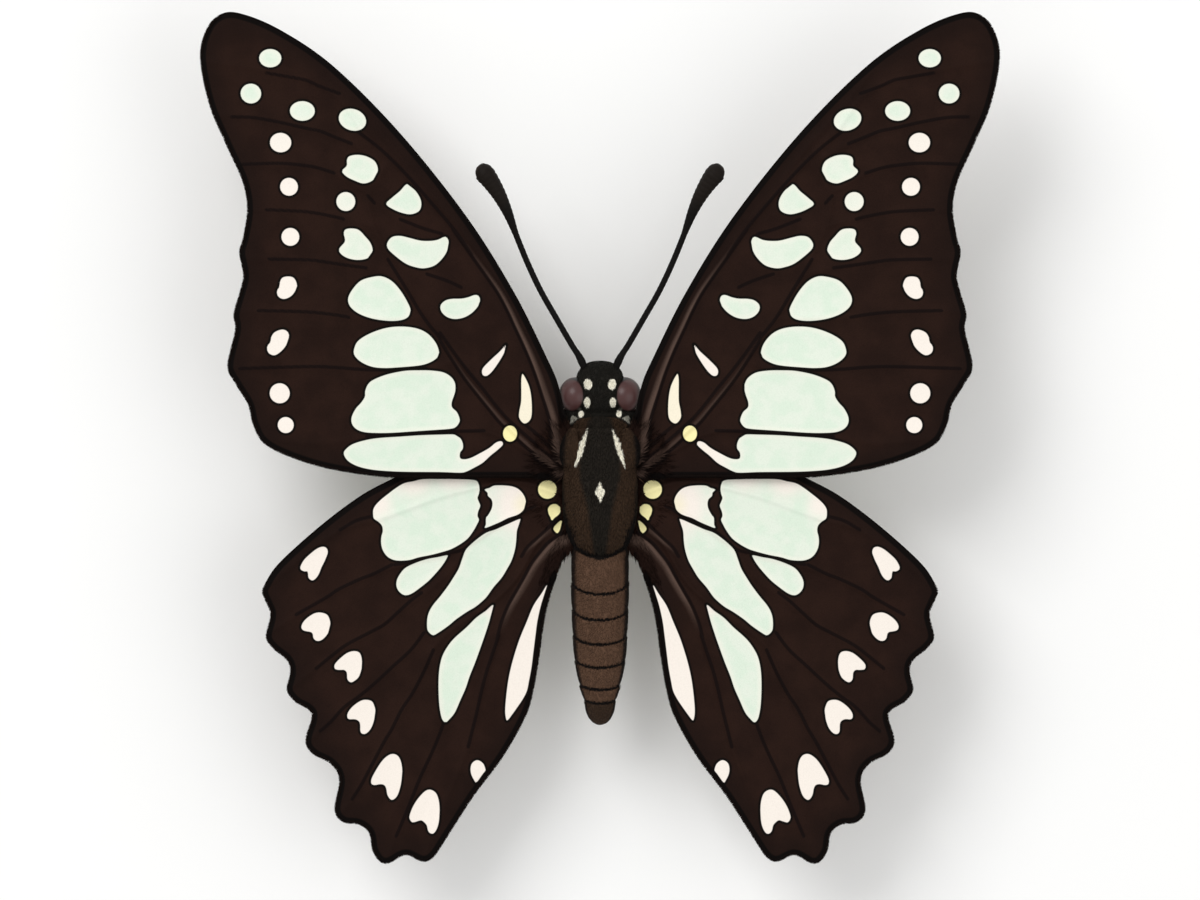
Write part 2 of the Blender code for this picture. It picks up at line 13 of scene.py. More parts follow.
import bpy
import numpy as np
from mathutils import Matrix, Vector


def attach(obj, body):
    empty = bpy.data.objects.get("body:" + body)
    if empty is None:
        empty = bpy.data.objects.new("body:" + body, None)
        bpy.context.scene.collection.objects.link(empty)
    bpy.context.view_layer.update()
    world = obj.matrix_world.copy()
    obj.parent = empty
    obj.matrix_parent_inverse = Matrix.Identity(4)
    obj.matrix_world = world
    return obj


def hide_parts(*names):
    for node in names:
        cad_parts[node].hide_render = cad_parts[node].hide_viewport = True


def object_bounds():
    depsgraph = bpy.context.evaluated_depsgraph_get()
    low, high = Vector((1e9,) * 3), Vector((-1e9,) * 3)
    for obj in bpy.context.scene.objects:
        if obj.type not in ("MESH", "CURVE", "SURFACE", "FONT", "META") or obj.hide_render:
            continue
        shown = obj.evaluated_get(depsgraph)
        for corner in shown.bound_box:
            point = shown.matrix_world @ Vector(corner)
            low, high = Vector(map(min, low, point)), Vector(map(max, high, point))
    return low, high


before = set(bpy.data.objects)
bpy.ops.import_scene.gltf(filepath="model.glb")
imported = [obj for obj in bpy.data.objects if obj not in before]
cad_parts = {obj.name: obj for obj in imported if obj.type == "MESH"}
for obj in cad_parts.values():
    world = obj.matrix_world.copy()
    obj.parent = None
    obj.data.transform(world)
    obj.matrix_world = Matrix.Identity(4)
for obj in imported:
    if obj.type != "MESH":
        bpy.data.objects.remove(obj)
cad_low, cad_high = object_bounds()
FRAME_LENGTH = 63.76
UNIT = round((cad_high.y - cad_low.y) / FRAME_LENGTH, 5)
rng = np.random.default_rng(7)
print(f"one plan unit is {UNIT * 1000:.3f} mm, and the frame has {len(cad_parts)} nodes")

# %% [markdown]
# ## Camera and light
#
# The picture looks straight down and has no perspective to speak of. An orthographic camera would give that
# too, but a long lens a metre above is what a museum's photographer would use, and it can turn to other
# sides. The light is a plain studio: a white sky, and two large soft lamps that give the relief a direction.

# %% Camera
PICTURE_WIDTH = 90.0
PICTURE_MIDDLE = (0.0, -0.9)
WING_LEVEL = 10.3
LENS = 400.0
SENSOR = 36.0


def place_in_scene(name, data):
    """An object with the given data, linked to the scene."""
    thing = bpy.data.objects.new(name, data)
    bpy.context.scene.collection.objects.link(thing)
    return thing


camera_data = bpy.data.cameras.new("above")
camera_data.lens = LENS
camera_data.sensor_width = SENSOR
camera_data.clip_end = 10.0
camera = place_in_scene("above", camera_data)
stand_off = PICTURE_WIDTH * LENS / SENSOR
camera.location = [UNIT * value for value in (*PICTURE_MIDDLE, WING_LEVEL + stand_off)]
bpy.context.scene.camera = camera
bpy.context.scene.view_settings.view_transform = "Standard"
print(f"the camera stands {stand_off * UNIT:.2f} m above the wings")

# %% Lamps and sky
SKY_STRENGTH = 0.64
LAMPS = {"key": ((-0.22, 0.26, 0.42), 0.3, 1.3), "fill": ((0.3, -0.1, 0.4), 0.4, 0.5)}

for name, (spot, size, power) in LAMPS.items():
    data = bpy.data.lights.new(name, "AREA")
    data.size = size
    data.energy = power
    lamp = place_in_scene(name, data)
    lamp.location = spot
    lamp.rotation_euler = (math.atan2(math.hypot(*spot[:2]), spot[2]), 0, math.atan2(spot[0], -spot[1]))
    lamp.visible_camera = False

sky = bpy.data.worlds.new("studio")
sky.use_nodes = True
sky.node_tree.nodes["Background"].inputs["Color"].default_value = (1, 1, 1, 1)
sky.node_tree.nodes["Background"].inputs["Strength"].default_value = SKY_STRENGTH
bpy.context.scene.world = sky
print(f"{len(LAMPS)} lamps, each turned to the middle of the animal")

# %% [markdown]
# ## A short way to write materials
#
# A material is a web of nodes, and a long web is hard to read as code. The class below wraps a socket, so
# that `1 - mask` adds a Math node, and `node` adds any other node from its type, settings and inputs. With
# it each finish can be written as a few sums of masks, noise and colours.

# %% Values in a material


class Value:
    """An output socket of the material that is being made. Arithmetic on it adds Math nodes."""

    tree = None

    def __init__(self, socket):
        self.socket = socket

    @classmethod
    def node(cls, kind, settings=None, inputs=None, output=0):
        """Any node: its type, its settings, which are set first, and the values or links of its sockets."""
        made = cls.tree.nodes.new(kind)
        for key, setting in (settings or {}).items():
            setattr(made, key, setting)
        for key, given in (inputs or {}).items():
            cls.feed(made.inputs[key], given)
        return cls(made.outputs[output])

    @classmethod
    def feed(cls, slot, given):
        if isinstance(given, Value):
            cls.tree.links.new(given.socket, slot)
        else:
            slot.default_value = given

    @classmethod
    def maths(cls, operation, *given):
        return cls.node("ShaderNodeMath", {"operation": operation}, dict(enumerate(given)))

    def __add__(self, other):
        return Value.maths("ADD", self, other)

    def __sub__(self, other):
        return Value.maths("SUBTRACT", self, other)

    def __mul__(self, other):
        return Value.maths("MULTIPLY", self, other)

    def __rsub__(self, other):
        return Value.maths("SUBTRACT", other, self)

    __radd__ = __add__
    __rmul__ = __mul__


print("a material's values can now be added, subtracted and multiplied")

# %% Colours and masks


def linear(channel):
    """One 8-bit sRGB channel as linear light."""
    share = channel / 255
    return share / 12.92 if share <= 0.04045 else ((share + 0.055) / 1.055) ** 2.4


def paint(red, green, blue):
    """An 8-bit sRGB colour as the linear colour that a socket takes."""
    return (linear(red), linear(green), linear(blue), 1.0)


def carried(name):
    """A value that the mesh carries at each of its points."""
    return Value.node("ShaderNodeAttribute", {"attribute_name": name}, output="Fac")


def step(value, low, high):
    """0 below low and 1 above high, with a smooth rise between them."""
    limits = {"Value": value, "From Min": low, "From Max": high}
    return Value.node("ShaderNodeMapRange", {"interpolation_type": "SMOOTHSTEP"}, limits)


def blend(share, first, second):
    """The first colour where share is 0, and the second where it is 1."""
    return Value.node("ShaderNodeMix", {"data_type": "RGBA"}, {0: share, 6: first, 7: second}, output=2)


def tinted(colour, amount):
    """A colour made darker or lighter: each channel is multiplied by the amount."""
    scaled = {"operation": "SCALE"}
    return Value.node("ShaderNodeVectorMath", scaled, {0: colour, "Scale": amount})


print("mid grey 128 is", round(linear(128), 3), "in linear light")

# %% Textures and finishes


def texture(kind, size, output, **inputs):
    """A texture in the piece's own coordinates, with features of about the given size in plan units."""
    own = Value.node("ShaderNodeTexCoord", output="Object")
    return Value.node(kind, None, {"Vector": own, "Scale": 1 / (size * UNIT), **inputs}, output)


def noise(size, detail=2.0):
    """Cloudy noise between 0 and 1."""
    return texture("ShaderNodeTexNoise", size, "Fac", Detail=detail)


def cells(size):
    """Rounded cells: the distance from the middle of each."""
    return texture("ShaderNodeTexVoronoi", size, "Distance")


def bump(height, depth, strength):
    """A normal from a height between 0 and 1 that stands for a relief of the given depth in plan units."""
    inputs = {"Height": height, "Distance": depth * UNIT, "Strength": strength}
    return Value.node("ShaderNodeBump", None, inputs, output="Normal")


def finish(name, recipe, **fixed):
    """A material whose recipe returns the changing inputs; fixed ones are set on the shader's sockets."""
    made = bpy.data.materials.new(name)
    made.use_nodes = True
    Value.tree = made.node_tree
    shader = made.node_tree.nodes["Principled BSDF"]
    for key, given in {**fixed, **recipe()}.items():
        Value.feed(shader.inputs[key.replace("_", " ")], given)
    return made


print(f"a texture of size 1 has the scale {1 / UNIT:.0f}")

# %% [markdown]
# ## Arrays to meshes
#
# Sculpting would give meshes too, but nobody could read or change them later. Here each piece is a surface
# computed as whole arrays of points. `add_piece` scales it to metres, turns its faces outwards by the sign
# of its volume, hangs the values that the materials read on its points, and ties it to the frame.

# %% Arrays to meshes
SIDES = ((1, "right"), (-1, "left"))


def volume(points, faces):
    """Six times the signed volume under the faces: positive where they point outwards."""
    total = 0.0
    for group in faces:
        first = points[group[:, 0]]
        for i in range(1, group.shape[1] - 1):
            total += np.einsum("ij,ij->", first, np.cross(points[group[:, i]], points[group[:, i + 1]]))
    return total


def outward(points, faces):
    """The faces, turned round if their volume is negative."""
    return faces if volume(points, faces) > 0 else [group[:, ::-1] for group in faces]


def add_piece(name, points, faces, material, slot, replaces=(), values=None, patches=None):
    """One mesh object from points in plan units and arrays of faces, with values at its points.

    The patches, where given, are the places of the points on the bake map, named OFBake.
    """
    faces = outward(points, [np.asarray(group) for group in faces])
    mesh = bpy.data.meshes.new(name)
    mesh.from_pydata(points * UNIT, [], [face for group in faces for face in group.tolist()])
    mesh.shade_smooth()
    for key, numbers in (values or {}).items():
        layer = mesh.attributes.new(key, "FLOAT", "POINT")
        layer.data.foreach_set("value", np.ascontiguousarray(numbers, np.float32))
    if patches is not None:
        corners = np.concatenate([group.ravel() for group in faces])
        places = patches[corners].astype(np.float32).ravel()
        mesh.uv_layers.new(name="OFBake").uv.foreach_set("vector", places)
    mesh.materials.append(material)
    piece = place_in_scene(name, mesh)
    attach(piece, "root")
    if replaces:
        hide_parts(*replaces)
    triangles = sum(len(group) * (group.shape[1] - 2) for group in faces)
    print(f"{name}: {len(points)} points, {triangles} triangles")


def add_pair(name, points, faces, material, slot, replaces=(), values=None, patches=None):
    """A piece on the right side and its mirror image on the left. Braces in a name stand for the side."""
    for side, word in SIDES:
        nodes = [node.format(word) for node in replaces]
        add_piece(name.format(word), points * [side, 1, 1], faces, material, slot, nodes, values, patches)


print(f"a piece and its mirror image are named {' and '.join(word for _, word in SIDES)}")

# %% Smooth curves


def curve(knots, per_span=16):
    """A Catmull-Rom curve through the knots: each span is a cubic whose slopes come from its neighbours."""
    knots = np.asarray(knots, float)
    knots = np.concatenate([2 * knots[:1] - knots[1:2], knots, 2 * knots[-1:] - knots[-2:-1]])
    a, b, c, d = (knots[i : len(knots) - 3 + i][:, None] for i in range(4))
    t = (np.arange(per_span) / per_span)[None, :, None]
    spans = 0.5 * (2 * b + (c - a) * t + (2 * a - 5 * b + 4 * c - d) * t**2 + (3 * b - a - 3 * c + d) * t**3)
    return np.concatenate([spans.reshape(-1, knots.shape[1]), knots[-2:-1]])


def loop(knots, per_span=6):
    """A closed Catmull-Rom curve: the open one over the knots with three repeated at each end, trimmed."""
    knots = np.asarray(knots, float)
    around = np.concatenate([knots[-3:], knots, knots[:3]])
    return curve(around, per_span)[3 * per_span : -3 * per_span]


def oval(x, y, width, height, tilt=0.0):
    """Points of an ellipse about a centre, tilted by degrees."""
    turn = np.linspace(0, math.tau, 28, endpoint=False)
    cos, sin = math.cos(math.radians(tilt)), math.sin(math.radians(tilt))
    wide = 0.5 * width * np.cos(turn)
    high = 0.5 * height * np.sin(turn)
    return np.stack([x + wide * cos - high * sin, y + wide * sin + high * cos], axis=1)


def lengths(line):
    """How far along a line each of its points lies."""
    return np.concatenate([[0.0], np.cumsum(np.linalg.norm(np.diff(line, axis=0), axis=1))])


def spread(line, count):
    """The line again, as a given number of points at even distances."""
    reach = lengths(line)
    at = np.linspace(0, reach[-1], count)
    return np.stack([np.interp(at, reach, column) for column in line.T], axis=1)


print("an oval of width 2 is", round(lengths(oval(0, 0, 2, 2))[-1], 2), "long without its last side")

# %% Distances


def rise(value, low, high):
    """0 below low and 1 above high, with a smooth rise: three times the square less twice the cube."""
    share = np.clip((value - low) / (high - low), 0, 1)
    return share * share * (3 - 2 * share)


def to_line(points, line):
    """Distance from each point to a line, and how far along the nearest place is, from 0 to 1."""
    best = np.full(len(points), np.inf)
    share = np.zeros(len(points))
    reach = lengths(line)
    for start, end, before, after in zip(line, line[1:], reach, reach[1:]):
        run = end - start
        along = np.clip((points - start) @ run / (run @ run), 0, 1)
        gap = np.linalg.norm(points - start - along[:, None] * run, axis=1)
        nearer = gap < best
        best[nearer] = gap[nearer]
        share[nearer] = ((before + along * (after - before)) / reach[-1])[nearer]
    return best, share


def to_side(points, line):
    """Distance to a line, positive on the left of its direction, and how far along the nearest place is."""
    gap, share = to_line(points, line)
    at = lengths(line) / lengths(line)[-1]
    run = np.gradient(line, axis=0)
    near, along = (np.column_stack([np.interp(share, at, of[:, i]) for i in range(2)]) for of in (line, run))
    away = points - near
    return gap * np.sign(along[:, 0] * away[:, 1] - along[:, 1] * away[:, 0]), share


def to_loop(points, outline, far=1e3, room=1.5):
    """Signed distance to a closed outline, negative inside. Inside is found by counting crossed edges, and
    points with more than some room between them and the outline's box get the far distance.
    """
    closed = np.concatenate([outline, outline[:1]])
    within = np.zeros(len(points), bool)
    for (x0, y0), (x1, y1) in zip(closed, closed[1:]):
        if y0 != y1:
            crossed = (y0 > points[:, 1]) != (y1 > points[:, 1])
            within ^= crossed & (points[:, 0] < x0 + (points[:, 1] - y0) * (x1 - x0) / (y1 - y0))
    near = np.full(len(points), far)
    close = ((points > outline.min(axis=0) - room) & (points < outline.max(axis=0) + room)).all(axis=1)
    near[close] = to_line(points[close], closed)[0]
    return np.where(within, -near, near)


print("the middle of an oval of width 2 lies at", round(to_loop(np.zeros((1, 2)), oval(0, 0, 2, 2))[0], 2))

# %% Grids and tubes


def grid_faces(rows, columns, around=False):
    """Quads of a grid whose points are numbered row by row, closed around its columns if asked."""
    last = columns if around else columns - 1
    i, j = np.meshgrid(np.arange(rows - 1), np.arange(last), indexing="ij")
    near = (i * columns + j).ravel()
    beside = (i * columns + (j + 1) % columns).ravel()
    return np.stack([near, beside, beside + columns, near + columns], axis=1)


def closed_tube(sections):
    """Points and faces of a tube through sections of equal size, with a fan to a middle point at each end."""
    rows, columns = sections.shape[:2]
    points = np.concatenate([sections.reshape(-1, 3), sections[:1].mean(axis=1), sections[-1:].mean(axis=1)])
    first = np.arange(columns)
    following = (first + 1) % columns
    start = np.full(columns, rows * columns)
    near_fan = np.stack([following, first, start], axis=1)
    far = (rows - 1) * columns
    far_fan = np.stack([first + far, following + far, start + 1], axis=1)
    return points, [grid_faces(rows, columns, around=True), np.concatenate([near_fan, far_fan])]


def unit(vectors):
    """The vectors, each divided by its length."""
    return vectors / np.maximum(np.linalg.norm(vectors, axis=-1, keepdims=True), 1e-9)


print("a grid of 3 rows and 4 columns has", len(grid_faces(3, 4)), "faces")

# %% [markdown]
# ## Wing outlines
#
# A wing is a sheet between four edges: the leading edge, the outer margin, the hind or inner edge, and the
# short root. A picture laid on a plain plate would lose the scallops from every other side, so each edge is
# drawn with the knots that its shape needs, on the right side of the body. The left wing is its mirror image.

# %% Wing outlines
FOREWING_KNOTS = [
    (2.5, 1.15), (3.1, 3.9), (4, 6.05), (6.48, 11), (10, 16.6), (15, 22.87), (20, 27.88), (24, 30.6),
    (27, 31.82), (28.5, 31.7), (29.5, 30.6), (29.97, 28.5), (29.3, 25), (28.05, 22), (26.8, 19.2),
    (26.45, 17.1), (26.77, 15), (27.04, 13.9), (26.75, 12.2), (27, 11), (27.47, 9.3), (27.36, 8.1),
    (27.93, 5.4), (27.3, 4), (26.4, 2.5), (26.02, 1), (25.2, -0.42), (23.1, -1.5), (20, -2.4), (15.4, -3),
    (9, -3), (3.25, -3),
]
HINDWING_KNOTS = [
    (3.1, -2.4), (5, -1.7), (8, -1.2), (11, -1.25), (13.5, -2), (15.6, -3.05), (18, -4.35), (21, -6.6),
    (24, -9.3), (25.1, -10.85), (25.35, -11.6), (25, -12.5), (24.75, -13.3), (25.08, -14.9), (24.6, -15.75),
    (23.5, -16.7), (23.27, -17.6), (23.52, -18.9), (22.9, -19.8), (21.9, -20.4), (21.67, -21),
    (22.12, -22.7), (21.6, -23.7), (20.2, -24.5), (19.6, -25.7), (19.95, -27.9), (19.3, -28.85),
    (18.1, -29.05), (17.35, -29.7), (17.1, -31), (16.5, -31.85), (15.8, -31.93), (14.6, -31.35),
    (13.35, -31.83), (12.5, -31.5), (11.5, -30.05), (9.5, -26.95), (7.3, -24), (5.6, -21), (4.98, -19),
    (4.5, -16.2), (4.2, -14), (3.75, -12), (3.1, -10.05), (2.6, -8.8), (2.55, -8.1),
]
FOREWING_APEX, FOREWING_TORNUS = 9, 27
HINDWING_APEX, HINDWING_TORNUS = 9, 34
KNOT_STEPS = 16


def wing_edges(knots, apex, tornus):
    """The leading edge, outer margin and hind edge of a wing, each from the front or the root outwards."""
    line = curve(knots, KNOT_STEPS)
    lead = line[: apex * KNOT_STEPS + 1]
    margin = line[apex * KNOT_STEPS : tornus * KNOT_STEPS + 1][::-1]
    hind = line[tornus * KNOT_STEPS :][::-1]
    return lead, margin, hind


for word, knots in (("forewing", FOREWING_KNOTS), ("hindwing", HINDWING_KNOTS)):
    print(f"{word} outline: {lengths(curve(knots))[-1]:.1f} plan units round")

# %% [markdown]
# ## Wing markings
#
# The pale marks are windows of thin scales in the dark coat. Each is a closed curve through a few knots, or
# an oval, with a warmth before it: 0 is pale green, 1 is cream and 2 is yellow, because the windows turn
# creamy towards the body. The mesh carries the distance to the nearest window, and the material cuts it, so
# that edges stay crisp at any zoom and each window gets its dark line.

# %% Forewing windows and spots
FOREWING_WINDOWS = [
    (0.1, oval(24.7, 28.45, 1.67, 1.37)), (0.1, oval(26.15, 25.8, 1.54, 1.48)),
    (0.1, oval(22.3, 24.5, 1.87, 1.47)), (0.1, oval(18.55, 23.85, 2.1, 1.6, 18)),
    (0.8, oval(23.93, 22.13, 1.6, 1.46)), (1, oval(23.3, 18.82, 1.34, 1.34)),
    (0.4, oval(19.05, 17.72, 1.42, 1.42)), (1, oval(23.2, 15.07, 1.34, 1.34)),
    (1, oval(24, 3.35, 1.5, 1.5)), (1, oval(23.55, 0.97, 1.2, 1.2)), (2, oval(6.75, 0.33, 1.05, 1.2)),
    (0.2, loop([(16.65, 20), (16.85, 20.7), (17.5, 21.1), (18.2, 21.22), (18.8, 21.1), (18.97, 20.8),
        (18.97, 20.4), (19.33, 20), (19, 19.6), (18.4, 19.3), (17.7, 19.08), (17, 19.35)])),
    (0, loop([(14.45, 19.03), (15, 18.5), (15.6, 18), (16.03, 17.55), (15.6, 17.2), (14.9, 16.9),
        (14.2, 16.78), (13.6, 17), (13.4, 17.45), (13.5, 18), (13.9, 18.6)])),
    (0.25, loop([(17.05, 14), (17.2, 14.6), (17.6, 15.1), (18.1, 15.6), (18.7, 15.7), (19.1, 15.6),
        (19.2, 15.3), (19.1, 14.9), (19.15, 14.65), (19.5, 14.25), (19.55, 14), (19.3, 13.7), (18.8, 13.45),
        (18.1, 13.35), (17.4, 13.5)])),
    (1, loop([(22.7, 11.4), (22.9, 11.95), (23.3, 12.1), (23.8, 12), (24, 11.6), (24, 11.35), (24.2, 11),
        (24.1, 10.6), (23.7, 10.42), (23.2, 10.6), (22.85, 11)])),
    (1, loop([(23.3, 7.6), (23.45, 8), (23.85, 8.12), (24.4, 7.9), (24.65, 7.5), (24.68, 7.2),
        (24.93, 6.85), (24.85, 6.4), (24.4, 6.2), (23.9, 6.5), (23.5, 7)])),
    (0.1, loop([(11.35, 14.7), (11.5, 15.05), (11.75, 15.05), (12.2, 14.85), (12.8, 14.77), (13.5, 14.8),
        (14.3, 15), (15, 15.15), (15.6, 15.05), (15.95, 14.6), (15.9, 14.2), (15.4, 13.7), (14.6, 13.1),
        (13.9, 12.83), (13.2, 12.73), (12.4, 12.95), (11.8, 13.5), (11.45, 14.1)])),
    (0.1, loop([(9, 10.3), (9.1, 10.65), (9.4, 10.72), (9.9, 10.55), (10.4, 10.45), (11.1, 10.43),
        (11.6, 10.3), (11.95, 9.95), (11.9, 9.5), (11.5, 9.1), (10.9, 8.93), (10.2, 9.05), (9.6, 9.4),
        (9.15, 9.9)])),
    (1, loop([(7.05, 7), (7.5, 6.5), (8.2, 5.85), (8.8, 5.2), (8.8, 4.75), (8.5, 4.67), (8.1, 5),
        (7.6, 5.7), (7.2, 6.4)])),
    (1.35, loop([(5.8, 4.83), (5.9, 4.4), (5.9, 3.4), (5.92, 2.7), (6.05, 2), (6.05, 1.5), (5.7, 1.1),
        (5.3, 1.3), (5.13, 1.8), (5.15, 2.9), (5.3, 3.8), (5.6, 4.5)])),
    (0, loop([(14.2, 9.6), (14.5, 10.3), (15, 11.1), (15.6, 11.75), (16.3, 12.1), (17, 12.08), (17.9, 11.8),
        (18.5, 11.2), (18.87, 10.5), (18.75, 9.9), (18.2, 9.4), (17.4, 9.05), (16.5, 8.85), (15.5, 8.78),
        (14.7, 8.9), (14.3, 9.2)])),
    (0, loop([(12.07, 6.4), (12.3, 7.1), (12.9, 7.8), (13.7, 8.2), (14.8, 8.35), (16, 8.25), (17.2, 7.85),
        (18.1, 7.3), (18.42, 6.7), (18.4, 6.2), (17.9, 5.7), (17.1, 5.35), (16.2, 5.25), (15.1, 5.3),
        (13.5, 5.45), (12.7, 5.7), (12.2, 6.05)])),
    (0, loop([(10.85, 4), (11.1, 4.5), (11.7, 4.9), (12.6, 5.05), (13.6, 5.07), (14.7, 5.02), (16, 4.75),
        (17, 4.35), (17.4, 4), (17.6, 3.5), (17.62, 3.1), (17.9, 2.65), (18.3, 2.2), (18.6, 1.6),
        (18.6, 1.1), (18.3, 0.7), (17.7, 0.45), (16.7, 0.38), (15.5, 0.4), (14, 0.5), (12.5, 0.6),
        (11.2, 0.7), (10.8, 0.85), (10.55, 1.2), (10.55, 1.5), (10.75, 1.95), (11.1, 2.3), (11.12, 2.7),
        (10.95, 3.2), (10.85, 3.6)])),
    (0, loop([(10.9, 0.25), (12, 0.25), (13.5, 0.2), (15, 0.1), (16.5, 0), (17.5, -0.15), (18.5, -0.45),
        (19.05, -0.85), (19.2, -1.2), (18.9, -1.7), (18.2, -2.1), (17.2, -2.35), (16, -2.47), (14.5, -2.53),
        (12, -2.55), (10.5, -2.6), (10, -2.5), (9.4, -2.2), (8.8, -1.85), (8.2, -1.3), (7.7, -0.9),
        (7.3, -0.5), (7.4, -0.25), (7.8, -0.35), (8.3, -0.75), (9, -1.15), (9.7, -1.5), (10.2, -1.6),
        (10.5, -1.5), (10.5, -1.1), (10.3, -0.8), (10.3, -0.4), (10.5, 0)])),
]
print(f"the forewing has {len(FOREWING_WINDOWS)} windows and spots")

